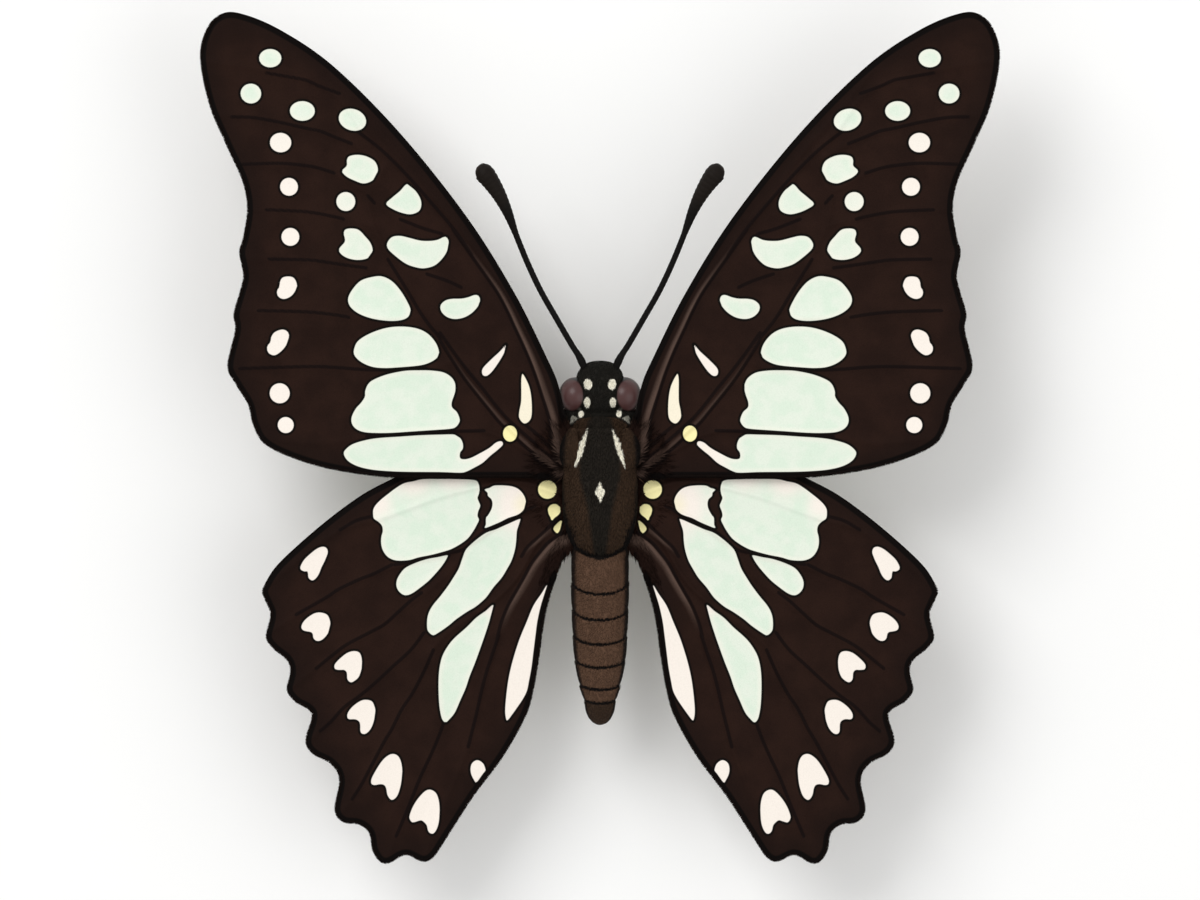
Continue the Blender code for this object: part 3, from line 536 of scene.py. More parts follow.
# %% Hindwing windows and spots
HINDWING_WINDOWS = [
    (2, oval(3.95, -3.87, 1.4, 1.4)),
    (2, loop([(3, -5.2), (3.25, -4.98), (3.65, -5), (3.9, -5.3), (3.85, -5.7), (3.72, -5.95), (3.62, -6.2),
        (3.4, -5.98), (3.1, -5.75), (2.98, -5.5)])),
    (2, loop([(2.85, -6.2), (3.15, -6.35), (3.5, -6.8), (3.2, -7.15), (2.98, -6.8)])),
    (0.1, loop([(5.58, -4.8), (5.7, -4.35), (6, -3.95), (6.4, -3.7), (7, -3.58), (7.9, -3.57), (8.3, -3.75),
        (8.65, -3.87), (8.45, -4.1), (8.4, -4.35), (8.15, -4.6), (8.07, -4.95), (8.15, -5.35), (8.4, -5.8),
        (8.55, -6), (8.57, -6.5), (8.65, -6.75), (8.2, -6.6), (7.5, -6.3), (6.9, -6), (6.3, -5.8),
        (5.95, -5.6), (5.7, -5.3)])),
    (0, loop([(9.05, -3.9), (9.12, -3.45), (9.4, -3.17), (10.6, -3.1), (12, -3.08), (13.3, -3.1),
        (14, -3.25), (14.7, -3.4), (15.3, -3.75), (15.9, -4.2), (16.4, -4.6), (16.8, -5), (17, -5.35),
        (17.02, -5.75), (16.95, -6.05), (16.6, -6.3), (16.35, -6.6), (16.3, -7), (16.4, -7.4),
        (16.42, -7.9), (16.3, -8.4), (16, -8.85), (15.6, -9.1), (15.1, -9.2), (14.3, -9.15), (13.6, -8.95),
        (12.6, -8.75), (11.5, -8.45), (11, -8.25), (10.4, -7.9), (9.9, -7.5), (9.5, -6.95), (9.25, -6.5),
        (9.1, -6.15), (9.2, -5.85), (9.15, -5.5), (9, -5.1), (9.1, -4.8), (9.2, -4.5), (9.1, -4.2)])),
    (0.1, loop([(11.4, -8.8), (12.2, -8.95), (13, -9.1), (13.9, -9.4), (14.6, -9.75), (15, -10.2),
        (15.25, -10.7), (15.25, -11.2), (15, -11.6), (14.6, -11.8), (14.1, -11.65), (13.4, -11.15),
        (12.8, -10.65), (12.2, -10), (11.8, -9.5), (11.55, -9.1)])),
    (0, loop([(5.97, -6.08), (6.9, -6.45), (7.8, -6.85), (8.5, -7.1), (9.1, -7.5), (9.7, -8), (10.1, -8.45),
        (10.35, -9.1), (10.6, -9.8), (10.95, -10.4), (11.4, -11.1), (12, -11.9), (12.5, -12.5), (12.8, -13),
        (12.95, -13.5), (12.98, -14.1), (12.9, -14.5), (12.55, -14.8), (12.2, -14.65), (11.4, -14.1),
        (10.8, -13.6), (10, -13.05), (9.4, -12.7), (8.9, -12.3), (8.5, -11.9), (8, -11.2), (7.4, -10.5),
        (7, -9.85), (6.65, -9.2), (6.4, -8.4), (6.3, -7.7), (6.25, -7), (6.1, -6.5)])),
    (0.1, loop([(8, -12.55), (8.6, -13), (9.3, -13.5), (10, -14.2), (10.9, -15), (11.4, -15.6),
        (11.8, -16.3), (12, -17), (12.1, -17.8), (12.12, -18.8), (12.08, -19.8), (12, -20.5),
        (11.85, -21.1), (11.6, -21.35), (11.3, -21.1), (10.9, -20.6), (10.5, -19.7), (10.1, -18.8),
        (9.8, -17.9), (9.4, -16.9), (9, -15.8), (8.65, -14.8), (8.3, -13.7)])),
    (1, loop([(3.97, -11.05), (4.4, -11.7), (5, -12.6), (5.5, -13.8), (6, -15), (6.4, -16.2), (6.7, -17.3),
        (6.9, -18.3), (7.05, -19.5), (7.12, -20.5), (7.05, -21.1), (6.95, -21.2), (6.7, -20.9),
        (6.2, -20.2), (5.8, -19.6), (5.5, -19), (5.35, -18.3), (5.15, -17.2), (5, -16), (4.85, -14.8),
        (4.7, -13.7), (4.4, -12.4)])),
    (1, loop([(20.45, -8.7), (20.45, -8.4), (20.6, -8.2), (20.9, -8.17), (21.3, -8.35), (21.8, -8.75),
        (22.2, -9.15), (22.45, -9.6), (22.45, -9.85), (22.2, -10), (21.95, -10), (21.9, -10.2),
        (21.85, -10.5), (21.6, -10.68), (21.35, -10.55), (21.1, -10.2), (20.9, -9.7), (20.65, -9.2)])),
    (1, loop([(20.25, -14), (20.3, -13.6), (20.5, -13.25), (20.95, -13.1), (21.4, -13.15), (21.9, -13.45),
        (22.25, -13.8), (22.4, -14.15), (22.3, -14.4), (22, -14.5), (21.7, -14.55), (21.55, -14.7),
        (21.5, -15), (21.3, -15.2), (21, -15.2), (20.7, -15), (20.4, -14.6)])),
    (1, loop([(17.87, -16.8), (17.95, -16.3), (18.15, -16.05), (18.55, -16), (19, -16.15), (19.45, -16.5),
        (19.8, -16.85), (19.93, -17.1), (19.85, -17.35), (19.5, -17.4), (19.2, -17.4), (19, -17.6),
        (18.95, -18.1), (18.7, -18.33), (18.4, -18.2), (18.1, -17.9), (17.9, -17.3)])),
    (1, loop([(16.87, -20.5), (16.95, -20.1), (17.15, -19.75), (17.6, -19.65), (18, -19.75), (18.5, -20.1),
        (18.85, -20.5), (18.97, -20.85), (18.85, -21.1), (18.4, -21.1), (18.1, -21.25), (18, -21.5),
        (17.97, -22.05), (17.75, -22.22), (17.45, -22.1), (17.15, -21.7), (16.95, -21.1)])),
    (1, loop([(14.85, -25), (14.95, -24.3), (15.2, -23.85), (15.6, -23.72), (16, -23.9), (16.4, -24.3),
        (16.85, -25), (17.15, -25.6), (17.15, -25.95), (16.9, -26.05), (16.5, -25.98), (16.2, -26.05),
        (16.05, -26.3), (15.95, -26.8), (15.7, -27.15), (15.45, -27.1), (15.2, -26.8), (15, -26.2),
        (14.9, -25.6)])),
    (1, loop([(12.05, -28), (12.1, -27.3), (12.3, -26.7), (12.7, -26.42), (13.1, -26.5), (13.6, -27),
        (14, -27.6), (14.25, -28.2), (14.3, -28.55), (14.1, -28.85), (13.8, -28.8), (13.45, -28.7),
        (13.2, -28.85), (13, -29.1), (12.9, -29.5), (12.7, -29.7), (12.45, -29.65), (12.2, -29.2),
        (12.08, -28.6)])),
    (1, loop([(8.6, -25), (8.75, -24.5), (9.1, -24.22), (9.4, -24.25), (9.65, -24.5), (9.72, -24.9),
        (9.65, -25.3), (9.45, -25.7), (9.3, -25.88), (9, -25.5), (8.75, -25.15)])),
]
print(f"the hindwing has {len(HINDWING_WINDOWS)} windows and spots")

# %% Warm places and ochre bars
# Where the windows turn creamy: place, reach and warmth
FOREWING_WARMTH = [
    ((7.9, -0.9), 3.2, 1.15),
]
HINDWING_WARMTH = [
    ((5.6, -5), 3.8, 1.4), ((11, -2.6), 2.4, 1), ((14, -3), 2.6, 1), ((16.6, -5), 2, 0.9),
    ((8.2, -12.8), 1.2, 0.8),
]
# On the underside of the hindwing
HINDWING_OCHRE = [
    oval(7.4, -2.6, 1.9, 0.8, -10), oval(18, -8.6, 0.8, 1.5, -20), oval(16.9, -12.3, 0.8, 1.6, -35),
    oval(14.8, -15.4, 0.8, 1.6, -30), oval(13.2, -18.4, 0.8, 1.7, -15), oval(9.6, -21.4, 0.8, 1.7, 10),
]
print(f"{len(HINDWING_OCHRE)} ochre bars under the hindwing")

# %% [markdown]
# ## Veins, ribs and lines
#
# A wing is stiffened by veins, hollow tubes between its two skins. Near the body they are thick, and the
# light that they would catch is painted as brown bands with dark edges; farther out each is a thin dark line.
# Three
# lists hold them: the relief of the veins themselves, the broad ribs with their painted highlight bands, and
# the thin dark lines.

# %% Veins
# Knots from the root outwards, and the height of the ridge at both ends
FOREWING_VEINS = [
    ([(2.9, -1.4), (3.55, 0.4), (4.6, 4.5), (6, 8), (8, 11.7), (11, 15.7), (14.2, 19.4), (17.4, 22.6),
        (20.2, 26), (25, 27.5), (29.5, 28.2)], 0.24, 0.07),
    ([(3, -2.3), (5.5, -0.4), (8.2, 2.3), (10.9, 5.8), (13.2, 9), (15.2, 12.3), (17, 15.9)], 0.24, 0.1),
    ([(17, 15.9), (17.3, 18.2), (15.9, 20.6)], 0.09, 0.09),
    ([(16.6, 20.9), (18.8, 22.1), (22, 23.2), (26, 24), (28.9, 24.2)], 0.09, 0.06),
    ([(17.4, 18.4), (19.9, 19.8), (22, 20.4), (27.2, 20.5)], 0.09, 0.06),
    ([(17, 15.9), (20, 16.6), (22, 16.95), (26.3, 17.15)], 0.09, 0.06),
    ([(15.2, 12.3), (17.5, 12.75), (21, 13.25), (26.9, 13.45)], 0.09, 0.06),
    ([(13.2, 9), (18.8, 9.05), (22, 9.45), (27.3, 9.5)], 0.09, 0.06),
    ([(10.9, 5.8), (13, 5.2), (18, 5.15), (22, 5.35), (27.8, 5.2)], 0.09, 0.06),
    ([(3.3, -2.5), (6, -0.7), (8.7, 0.5), (13, 0.45), (17.5, 0.05), (21, -0.4), (25, 0)], 0.16, 0.06),
    ([(12.5, 17.6), (15.4, 21.6), (18.4, 25), (20.6, 27.8)], 0.08, 0.06),
    ([(3.1, 0.9), (3.3, 3.9), (4.2, 6), (6.7, 10.9), (10.2, 16.5), (15.2, 22.7), (20.1, 27.7), (24, 30.4)],
        0.2, 0.08),
]
HINDWING_VEINS = [
    ([(3, -4.7), (5.6, -5.5), (7.5, -6.4), (9.6, -7.8), (11.5, -8.65), (14.5, -9.4), (17, -10.2),
        (20.6, -12), (24.8, -14.6)], 0.2, 0.06),
    ([(3, -4.2), (6, -3.3), (8.8, -3.6), (12, -4.4), (16.4, -6), (20, -7.2), (25.1, -11.2)], 0.16, 0.06),
    ([(10.2, -8.3), (11.4, -10.2), (14.2, -12.4), (17.2, -14.55), (20.2, -16.4), (23.3, -18.9)], 0.09,
        0.06),
    ([(13.3, -14), (14.2, -15.9), (16.9, -18.4), (19.2, -20.2), (21.9, -22.8)], 0.08, 0.06),
    ([(3, -5.8), (4.8, -8), (6.2, -10.4), (7.8, -12.1), (9.8, -13.5), (12.4, -15.6), (14.1, -19.2),
        (16.2, -22.8), (18.6, -27.1), (19.6, -28.4)], 0.2, 0.06),
    ([(12.5, -16.2), (12.45, -18.5), (12.2, -21.6), (13.5, -25.5), (15.3, -29.9), (16, -31.7)], 0.08, 0.06),
    ([(2.7, -7), (4.6, -9.2), (5.9, -11.2), (7.2, -13.6), (7.9, -15.6), (8.9, -19), (9.9, -23.2),
        (11.6, -27.4), (13.2, -31.6)], 0.22, 0.06),
]
print(f"{len(FOREWING_VEINS)} veins on a forewing and {len(HINDWING_VEINS)} on a hindwing")

# %% Ribs
# The dark line that a band of painted highlight lies along, the band's width at both ends, and how bright the
# highlight is. The band lies on the left of the line on its way out, or on the right where its width is
# negative.
FOREWING_RIBS = [
    ([(2.75, -2.2), (3.05, -1.37), (3.4, -0.1), (3.87, 1.64), (4.4, 3.3), (4.95, 4.94), (5.6, 6.55),
        (6.38, 8.24), (7, 9.6), (7.7, 10.9), (8.6, 12.2), (9.6, 13.6), (11, 15.6)], 0.75, 0.3, 1),
    ([(2.6, -2.75), (3.5, -2.15), (4.5, -1.52), (5.6, -0.65), (6.7, 0.38), (7.5, 1.12), (8.35, 2.15),
        (9.2, 3.2), (10.15, 4.42), (11, 5.7), (12, 7.3)], 0.62, 0.2, 0.55),
]
HINDWING_RIBS = [
    ([(2.6, -7), (3.35, -7.46), (3.89, -7.86), (4.43, -8.47), (5.14, -9.4), (5.72, -10.47), (6.29, -11.48),
        (6.93, -12.63), (7.44, -13.92), (7.72, -15.06)], -0.8, -0.5, 1),
    ([(3.3, -6.25), (3.53, -6.43), (4.14, -6.99), (4.86, -7.64), (5.5, -8.25), (5.9, -8.9)], -0.55, -0.3,
        0.6),
]
print(f"{len(FOREWING_RIBS) + len(HINDWING_RIBS)} ribs on each side")

# %% Thin dark lines
FOREWING_LINES = [
    [(2.85, -2), (3.9, -1.15), (5.2, -0.12), (6.3, 0.85), (7.1, 1.6), (7.95, 2.6), (8.8, 3.7), (9.8, 4.9),
        (10.8, 6.2), (12, 7.9)],
    [(2.8, -1.6), (3.6, -0.75), (4.5, 0.1), (5.6, 1)],
    [(19.5, 25.8), (21, 26.35), (22, 26.8), (23, 27), (25, 27.35)],
    [(18.6, 22.05), (20, 22.6), (21, 23), (22, 23.2), (24, 23.65), (26, 24), (27.6, 24.05)],
    [(19.9, 19.85), (21, 20.2), (22, 20.4), (24, 20.58), (26.8, 20.5)],
    [(19.2, 16.4), (20, 16.6), (22, 16.95), (25, 17.1)],
    [(17.5, 12.75), (19, 12.95), (21, 13.25), (22, 13.35), (24.8, 13.4)],
    [(18.8, 9.05), (20, 9.25), (22, 9.45), (25.6, 9.55)],
    [(13, 5.2), (16, 5.1), (18, 5.15), (20, 5.3), (22, 5.35), (27, 5.2)],
    [(8.7, 0.55), (11, 0.5), (13, 0.45), (15, 0.25), (17.5, 0.1)],
    [(10.4, 11.3), (11.5, 11.8), (13, 12.3)], [(11.8, 15.3), (13.2, 15.7), (15, 16.4)],
    [(16.9, 17.6), (17.4, 18.15)],
    [(9.6, 13.7), (11, 15.7), (14.2, 19.4), (16.4, 21.6), (18.2, 23)],
    [(12, 7.5), (13.2, 9), (14.6, 11.3), (15.9, 13.4)],
]
HINDWING_LINES = [
    [(2.45, -8.2), (2.7, -8.95), (3.2, -10.2), (3.55, -11.2)],
    [(17.2, -5.9), (18.3, -6.2), (19.5, -6.9)],
    [(15.6, -9.5), (17, -10.2), (17.8, -10.5), (18.8, -10.95), (19.7, -11.4), (20.6, -12), (22.8, -13.25)],
    [(13.4, -11.6), (14.2, -12.2), (15.3, -13.2), (16.2, -14), (17.2, -14.55), (19, -15.5), (20.2, -16.4),
        (21.3, -17.3)],
    [(13.2, -14.6), (14.2, -15.9), (15.5, -17.1), (16.9, -18.4), (18.1, -19.4), (19.2, -20.2),
        (20.2, -21.3), (21, -22)],
    [(12.5, -15.9), (13.2, -17.5), (14.1, -19.2), (14.9, -20.4), (15.6, -21.8), (16.2, -22.8), (17, -24.3),
        (17.9, -26), (18.6, -27.1)],
    [(11.7, -21.3), (12.1, -22.4), (12.7, -23.8), (13.5, -25.5), (14.5, -28), (15.3, -29.9)],
    [(7.6, -14.8), (8.2, -16.6), (8.5, -17.5), (8.9, -19), (9.25, -20.6), (9.6, -22), (9.9, -23.2)],
    [(4.9, -5.1), (5.6, -5.45), (6.2, -5.85), (7.5, -6.4), (8.7, -7.05), (9.6, -7.8), (10.3, -8.4),
        (11.5, -8.65), (13, -9), (14.5, -9.35), (15.4, -9.5)],
    [(2.97, -5.9), (3.4, -6.25), (3.9, -6.7)],
]
print(f"{len(FOREWING_LINES) + len(HINDWING_LINES)} thin lines on each side")

# %% [markdown]
# ## The wing sheet
#
# A real wing is two skins with hollow veins between them, thinner than paper. A plane with a displacement
# could stand for it, but its rim would be ragged. Here a wing is a Coons patch between its four edges: the
# two pairs of opposite edges are blended across, and the blend of the corners is taken away once. The sheet
# then rises from the root and droops to the tip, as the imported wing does, and gets relief: ridges along the
# veins and a slight sag between them. Top and bottom are a hair's breadth apart and meet at the rim.

# %% Height and plan of a wing
WING_ROOT_X = 3.0
WING_HINGE_Y = -3.0
FRINGE_ROOM = 0.14


def wing_height(base, slope, droop, lean):
    """The height of the middle of a wing as a function of its plan. With d outwards from the root and f
    forwards from the hinge it is base + slope d - droop d^2 + lean f.
    """

    def height(plan):
        out = plan[:, 0] - WING_ROOT_X
        return base + slope * out - droop * out**2 + lean * (plan[:, 1] - WING_HINGE_Y)

    return height


def drawn_in(edge, amount):
    """The edge moved by an amount to the left of its direction."""
    run = np.gradient(edge, axis=0)
    across = np.stack([-run[:, 1], run[:, 0]], axis=1)
    return edge + amount * across / np.linalg.norm(across, axis=1)[:, None]


def coons(hind, lead, root, margin):
    """A flat patch between four edges. With u from root to margin and v from hind to lead, a point is
    (1 - v) hind(u) + v lead(u) + (1 - u) root(v) + u margin(v), less the same blend of the four corners.
    """
    u = np.linspace(0, 1, len(hind))[:, None, None]
    v = np.linspace(0, 1, len(root))[None, :, None]
    ends = (1 - u) * (1 - v) * hind[0] + u * (1 - v) * hind[-1] + (1 - u) * v * lead[0] + u * v * lead[-1]
    sides = (1 - v) * hind[:, None] + v * lead[:, None] + (1 - u) * root[None] + u * margin[None]
    return sides - ends


forewing_height = wing_height(9.3, 0.11, 0.0012, 0.012)
hindwing_height = wing_height(8.55, 0.1, 0.001, 0.02)
for word, height in (("forewing", forewing_height), ("hindwing", hindwing_height)):
    print(f"20 units out from the root the {word} is {height(np.array([[23.0, -3.0]]))[0]:.1f} high")

# %% Marks and relief of a wing
MARK_REACH = 1.5
LINE_REACH = 1.0
BAND_STARTS, BAND_STOPS = (0.05, 0.3), (0.4, 1.05)
BAND_FADES = (0.55, 1.0)
VEIN_WIDTH = 0.22
SAG = 0.07
SAG_REACH = 1.1
# Steps between two knots, of the lines on a wing and of its edge
LINE_STEPS, EDGE_STEPS = 5, 8


def wing_values(plan, outline, windows, warm_places, ochre, ribs, lines):
    """What the wing's material reads: distance to the nearest window, its warmth, the ochre bars below, the
    painted highlight on the ribs, and distances to the nearest dark line and to the edge.
    """
    window = np.full(len(plan), MARK_REACH)
    warmth, lit = np.zeros((2, len(plan)))
    for warm, shape in windows:
        gap = to_loop(plan, shape)
        nearer = gap < window
        window[nearer] = gap[nearer]
        warmth[nearer] = warm
    for centre, reach, warm in warm_places:
        warmth = np.maximum(warmth, warm * rise(reach - np.linalg.norm(plan - centre, axis=1), 0, reach))
    bars = np.min([np.full(len(plan), MARK_REACH), *(to_loop(plan, shape) for shape in ochre)], axis=0)
    dark = np.full(len(plan), LINE_REACH)
    for knots, near, far, light in ribs:
        gap, share = to_side(plan, curve(knots, LINE_STEPS))
        part = gap / (near + (far - near) * share)
        band = rise(part, *BAND_STARTS) * (1 - rise(part, *BAND_STOPS)) * (1 - rise(share, *BAND_FADES))
        lit = np.maximum(lit, light * band)
        dark = np.minimum(dark, np.abs(gap))
    for knots in lines:
        dark = np.minimum(dark, to_line(plan, curve(knots, LINE_STEPS))[0])
    edge = to_line(plan, outline)[0]
    return {"window": window, "warmth": warmth, "ochre": bars, "lit": lit, "dark": dark, "edge": edge}


def vein_relief(plan, veins):
    """Height of the vein ridges, a bell curve across each, and the sag of the sheet between them."""
    ridge = np.zeros(len(plan))
    nearest = np.full(len(plan), np.inf)
    for knots, near, far in veins:
        gap, share = to_line(plan, curve(knots, LINE_STEPS))
        ridge = np.maximum(ridge, (near + (far - near) * share) * np.exp(-((gap / VEIN_WIDTH) ** 2)))
        nearest = np.minimum(nearest, gap)
    return ridge, SAG * (1 - np.exp(-((nearest / SAG_REACH) ** 2)))


print(f"veins are ridges {2 * VEIN_WIDTH} wide, and the sheet sags {SAG} between them")

# %% Both sheets
SHEET_THICK = 0.2
RIM_THICK = 0.06
RIM_REACH, RIDGE_REACH = (0.1, 0.6), (0.05, 0.5)
RIDGE_BELOW = 0.6
# The root reaches in under the tegula, between the eye in front and the tail behind
ROOT_REACH, ROOT_FADE = 0.75, 0.8
EYE_CLEAR_Y, EYE_CLEAR = 1.4, 1.6
TAIL_CLEAR_Y, TAIL_CLEAR = -8.9, 1.2


def wing_sheet(knots, apex, tornus, grid, bare_knots, height, veins, *marks):
    """Points and faces of one closed wing on the right side, with the values that its material reads. The
    edge's last bare_knots knots, beside the body, get no dark rim. The marks are handed on to wing_values.
    """
    across, along = grid
    lead, margin, hind = wing_edges(knots, apex, tornus)
    hind = drawn_in(spread(hind, across), FRINGE_ROOM)
    lead = spread(lead, across)
    margin = drawn_in(spread(margin, along), FRINGE_ROOM)
    margin[0], margin[-1] = hind[-1], lead[-1]
    plan = coons(hind, lead, np.linspace(hind[0], lead[0], along), margin).reshape(-1, 2)
    inward = np.clip(plan[:, 0] - WING_ROOT_X, 0, None)
    beside = rise(EYE_CLEAR_Y - plan[:, 1], 0, EYE_CLEAR) * rise(plan[:, 1] - TAIL_CLEAR_Y, 0, TAIL_CLEAR)
    plan[:, 0] -= ROOT_REACH * beside * np.exp(-((inward / ROOT_FADE) ** 2))
    values = wing_values(plan, curve(knots[: len(knots) - bare_knots], EDGE_STEPS), *marks)
    ridge, sag = vein_relief(plan, veins)
    middle = height(plan) - sag
    half = 0.5 * (RIM_THICK + (SHEET_THICK - RIM_THICK) * rise(values["edge"], *RIM_REACH))
    fade = rise(values["edge"], *RIDGE_REACH)
    upper = np.column_stack([plan, middle + half + ridge * fade])
    lower = np.column_stack([plan, middle - half - RIDGE_BELOW * ridge * fade])
    top = grid_faces(across, along)
    count = across * along
    number = np.arange(count).reshape(across, along)
    ring = np.concatenate([number[0], number[1:, -1], number[-1, -2::-1], number[-2:0:-1, 0]])
    following = np.roll(ring, -1)
    rim = np.stack([following, ring, ring + count, following + count], axis=1)
    faces = [np.concatenate([top, top[:, ::-1] + count, rim[:, ::-1]])]
    values = {key: np.tile(numbers, 2) for key, numbers in values.items()}
    values["under"] = np.repeat([0.0, 1.0], count)
    return np.concatenate([upper, lower]), faces, values


FOREWING_GRID, HINDWING_GRID = (240, 190), (184, 248)
forewing = wing_sheet(
    FOREWING_KNOTS, FOREWING_APEX, FOREWING_TORNUS, FOREWING_GRID, 0, forewing_height,
    FOREWING_VEINS, FOREWING_WINDOWS, FOREWING_WARMTH, [], FOREWING_RIBS, FOREWING_LINES,
)
hindwing = wing_sheet(
    HINDWING_KNOTS, HINDWING_APEX, HINDWING_TORNUS, HINDWING_GRID, 2, hindwing_height,
    HINDWING_VEINS, HINDWING_WINDOWS, HINDWING_WARMTH, HINDWING_OCHRE, HINDWING_RIBS, HINDWING_LINES,
)
for word, (points, _, values) in (("forewing", forewing), ("hindwing", hindwing)):
    print(f"{word}: {len(points)} points, {(values['window'] < 0).mean():.0%} of them in windows")

# %% [markdown]
# ## Wing material
#
# Butterfly colour is a coat of scales laid like roof tiles, each about a tenth of a millimetre long. Dark
# scales cover the ground, and the green windows have few, so that the bare membrane shines a little. The
# material builds the colour in layers from the values on the mesh, then breaks it up with fine cells that
# stand for the scales, in colour and in a bump, because single scales would be too many to model.

# %% Wing material
SCALE_SIZE = 0.11
SCALE_DEPTH = 0.02
CLOUD_SIZE = 2.2


def wing_ground(cloud, window):
    """The dark upper side: painted highlight bands on the ribs, then the dark lines, the dark round each
    window and the edge.
    """
    edge = carried("edge")
    ground = blend(step(cloud, 0.3, 0.7), paint(33, 19, 14), paint(40, 24, 18))
    ground = blend(step(edge, 2.4, 0.4) * 0.6, ground, paint(24, 14, 11))
    # Painted highlight: a brown band where the thick ribs would catch the light.
    ground = blend(carried("lit"), ground, blend(cloud, paint(96, 77, 68), paint(72, 56, 49)))
    ground = blend(step(carried("dark"), 0.18, 0.08) * 0.8, ground, paint(13, 6, 6))
    ground = blend(step(window, 0.24, 0.12), ground, paint(11, 7, 5))
    return blend(step(edge, 0.52, 0.4), ground, paint(9, 5, 4))


def wing_windows(window, warmth):
    """The pale windows: green, paler to the edge, and creamy or yellow by their warmth."""
    pale = blend(step(noise(1.1), 0.35, 0.65), paint(223, 238, 220), paint(231, 240, 225))
    pale = blend(step(window, -0.45, -0.05) * 0.7, pale, paint(242, 242, 228))
    pale = blend(step(warmth, 0.0, 1.0), pale, paint(250, 241, 231))
    return blend(step(warmth, 1.0, 2.0), pale, paint(253, 244, 182))


def wing_underside(cloud, window, warmth):
    """The browner underside, with the same windows and its ochre bars."""
    ground = blend(step(cloud, 0.3, 0.7), paint(88, 66, 52), paint(112, 88, 70))
    ground = blend(step(carried("edge"), 0.6, 0.3), ground, paint(40, 28, 22))
    pale = blend(step(warmth, 1.0, 2.0), paint(216, 226, 208), paint(226, 190, 104))
    under = blend(step(window, 0.08, -0.08), ground, pale)
    return blend(step(carried("ochre"), 0.06, -0.06), under, paint(214, 140, 44))


def wing_recipe():
    """The upper side's colours, or the underside's, broken up by fine cells, with the windows smoother."""
    window, warmth = carried("window"), carried("warmth")
    grain = cells(SCALE_SIZE)
    cloud = noise(CLOUD_SIZE, 3.0)
    upper = blend(step(window, 0.03, -0.03), wing_ground(cloud, window), wing_windows(window, warmth))
    colour = blend(carried("under"), upper, wing_underside(cloud, window, warmth))
    coarse = 1.0 - 0.7 * step(window, 0.02, -0.04)
    return {
        "Base Color": tinted(colour, 0.95 + (0.11 - 0.22 * grain) * coarse),
        "Roughness": 0.72 - 0.24 * step(window, 0.05, -0.1),
        "Normal": bump((1.0 - grain) * coarse, SCALE_DEPTH, 0.6),
    }


wing_finish = finish("wing_scales", wing_recipe, Specular_IOR_Level=0.06)
for side, word in SIDES:
    for kind, (points, faces, values) in (("forewing", forewing), ("hindwing", hindwing)):
        own = points * [side, 1, 1]
        add_piece(f"{kind}_{word}_sheet", own, faces, wing_finish, "wing", [f"{kind}_{word}"], values)

# %% [markdown]
# ## Blades: hair, scales and spines
# Hair curves would be lost in an export, so hair, long scales and spines are all one solid form here: a thin
# three-sided blade that springs from a root, bends along the lie of the coat and ends in a point, in ten
# triangles. Thousands of them are worked out at once as arrays and joined in one mesh. Each carries one
# colour, that of the skin at it, and has a small patch of its own on the bake map.

# %% Blades
PATCH = 0.0015
BLADE_POINTS = 7
BLADE_DEPTH = 0.4
MIDDLE_WIDTH, MIDDLE_DEPTH = 0.9, 0.7
HAIR_SINK = 0.05


def blades(root, normal, lie, length, width, lift, sink=HAIR_SINK):
    """Points and faces of many blades. From its root, sunk a little, a blade leaves the skin at the angle
    lift, and bends back towards it to half that angle at the point. Its section is a flat triangle.
    """
    side = unit(np.cross(normal, lie))
    lie = unit(np.cross(side, normal))
    length, width, lift = (np.broadcast_to(given, len(root))[:, None] for given in (length, width, lift))
    start = root - sink * normal
    middle = root + 0.5 * length * (lie * np.cos(lift) + normal * np.sin(lift))
    tip = root + length * (lie * np.cos(0.5 * lift) + normal * np.sin(0.5 * lift))
    half = 0.5 * width * side
    back = BLADE_DEPTH * width * normal
    points = np.stack([
        start - half, start + half, start + back, middle - MIDDLE_WIDTH * half, middle + MIDDLE_WIDTH * half,
        middle + MIDDLE_DEPTH * back, tip,
    ], axis=1)
    first = (np.arange(len(root)) * BLADE_POINTS)[:, None, None]
    quads = np.array([(0, 1, 4, 3), (1, 2, 5, 4), (2, 0, 3, 5)])[None] + first
    threes = np.array([(3, 4, 6), (4, 5, 6), (5, 3, 6), (0, 2, 1)])[None] + first
    return points.reshape(-1, 3), [quads.reshape(-1, 4), threes.reshape(-1, 3)]


def blade_patches(at):
    """Places of the blades' points on the bake map: a small kite at each root's place on the skin's map."""
    kite = PATCH * np.array([(-1, -1), (1, -1), (0, -0.6), (-0.8, 0.1), (0.8, 0.1), (0, 0.2), (0, 1)])
    inside = PATCH + at * (1 - 2 * PATCH)
    return (inside[:, None] + kite[None]).reshape(-1, 2)


def per_blade(numbers):
    """Each blade's number, once for every point of it."""
    return np.repeat(numbers, BLADE_POINTS)


def tips(count):
    """0 at each blade's root, half way at its middle and 1 at its point."""
    return np.tile([0.0, 0.0, 0.0, 0.5, 0.5, 0.5, 1.0], count)


def joined(parts):
    """Several closed forms as one set of points and faces, each of them outside out."""
    starts = np.cumsum([0] + [len(points) for points, _ in parts])
    groups = {}
    for start, (points, faces) in zip(starts, parts):
        for group in outward(points, faces):
            groups.setdefault(group.shape[1], []).append(group + start)
    return np.concatenate([points for points, _ in parts]), [np.concatenate(g) for g in groups.values()]


print(f"a blade has {BLADE_POINTS} points, and its patch is {2 * PATCH:.1%} of the map wide")

# %% Fringe of the wings
FRINGE_STEP = 0.05
FRINGE_LENGTH = 0.3
FRINGE_WIDTH = 0.1
FRINGE_ROOT = 0.12
FRINGE_STRAY, FRINGE_SHORTEST = 0.12, 0.85
FRINGE_ROWS = {0.4: 0.02, 0.6: -0.02}

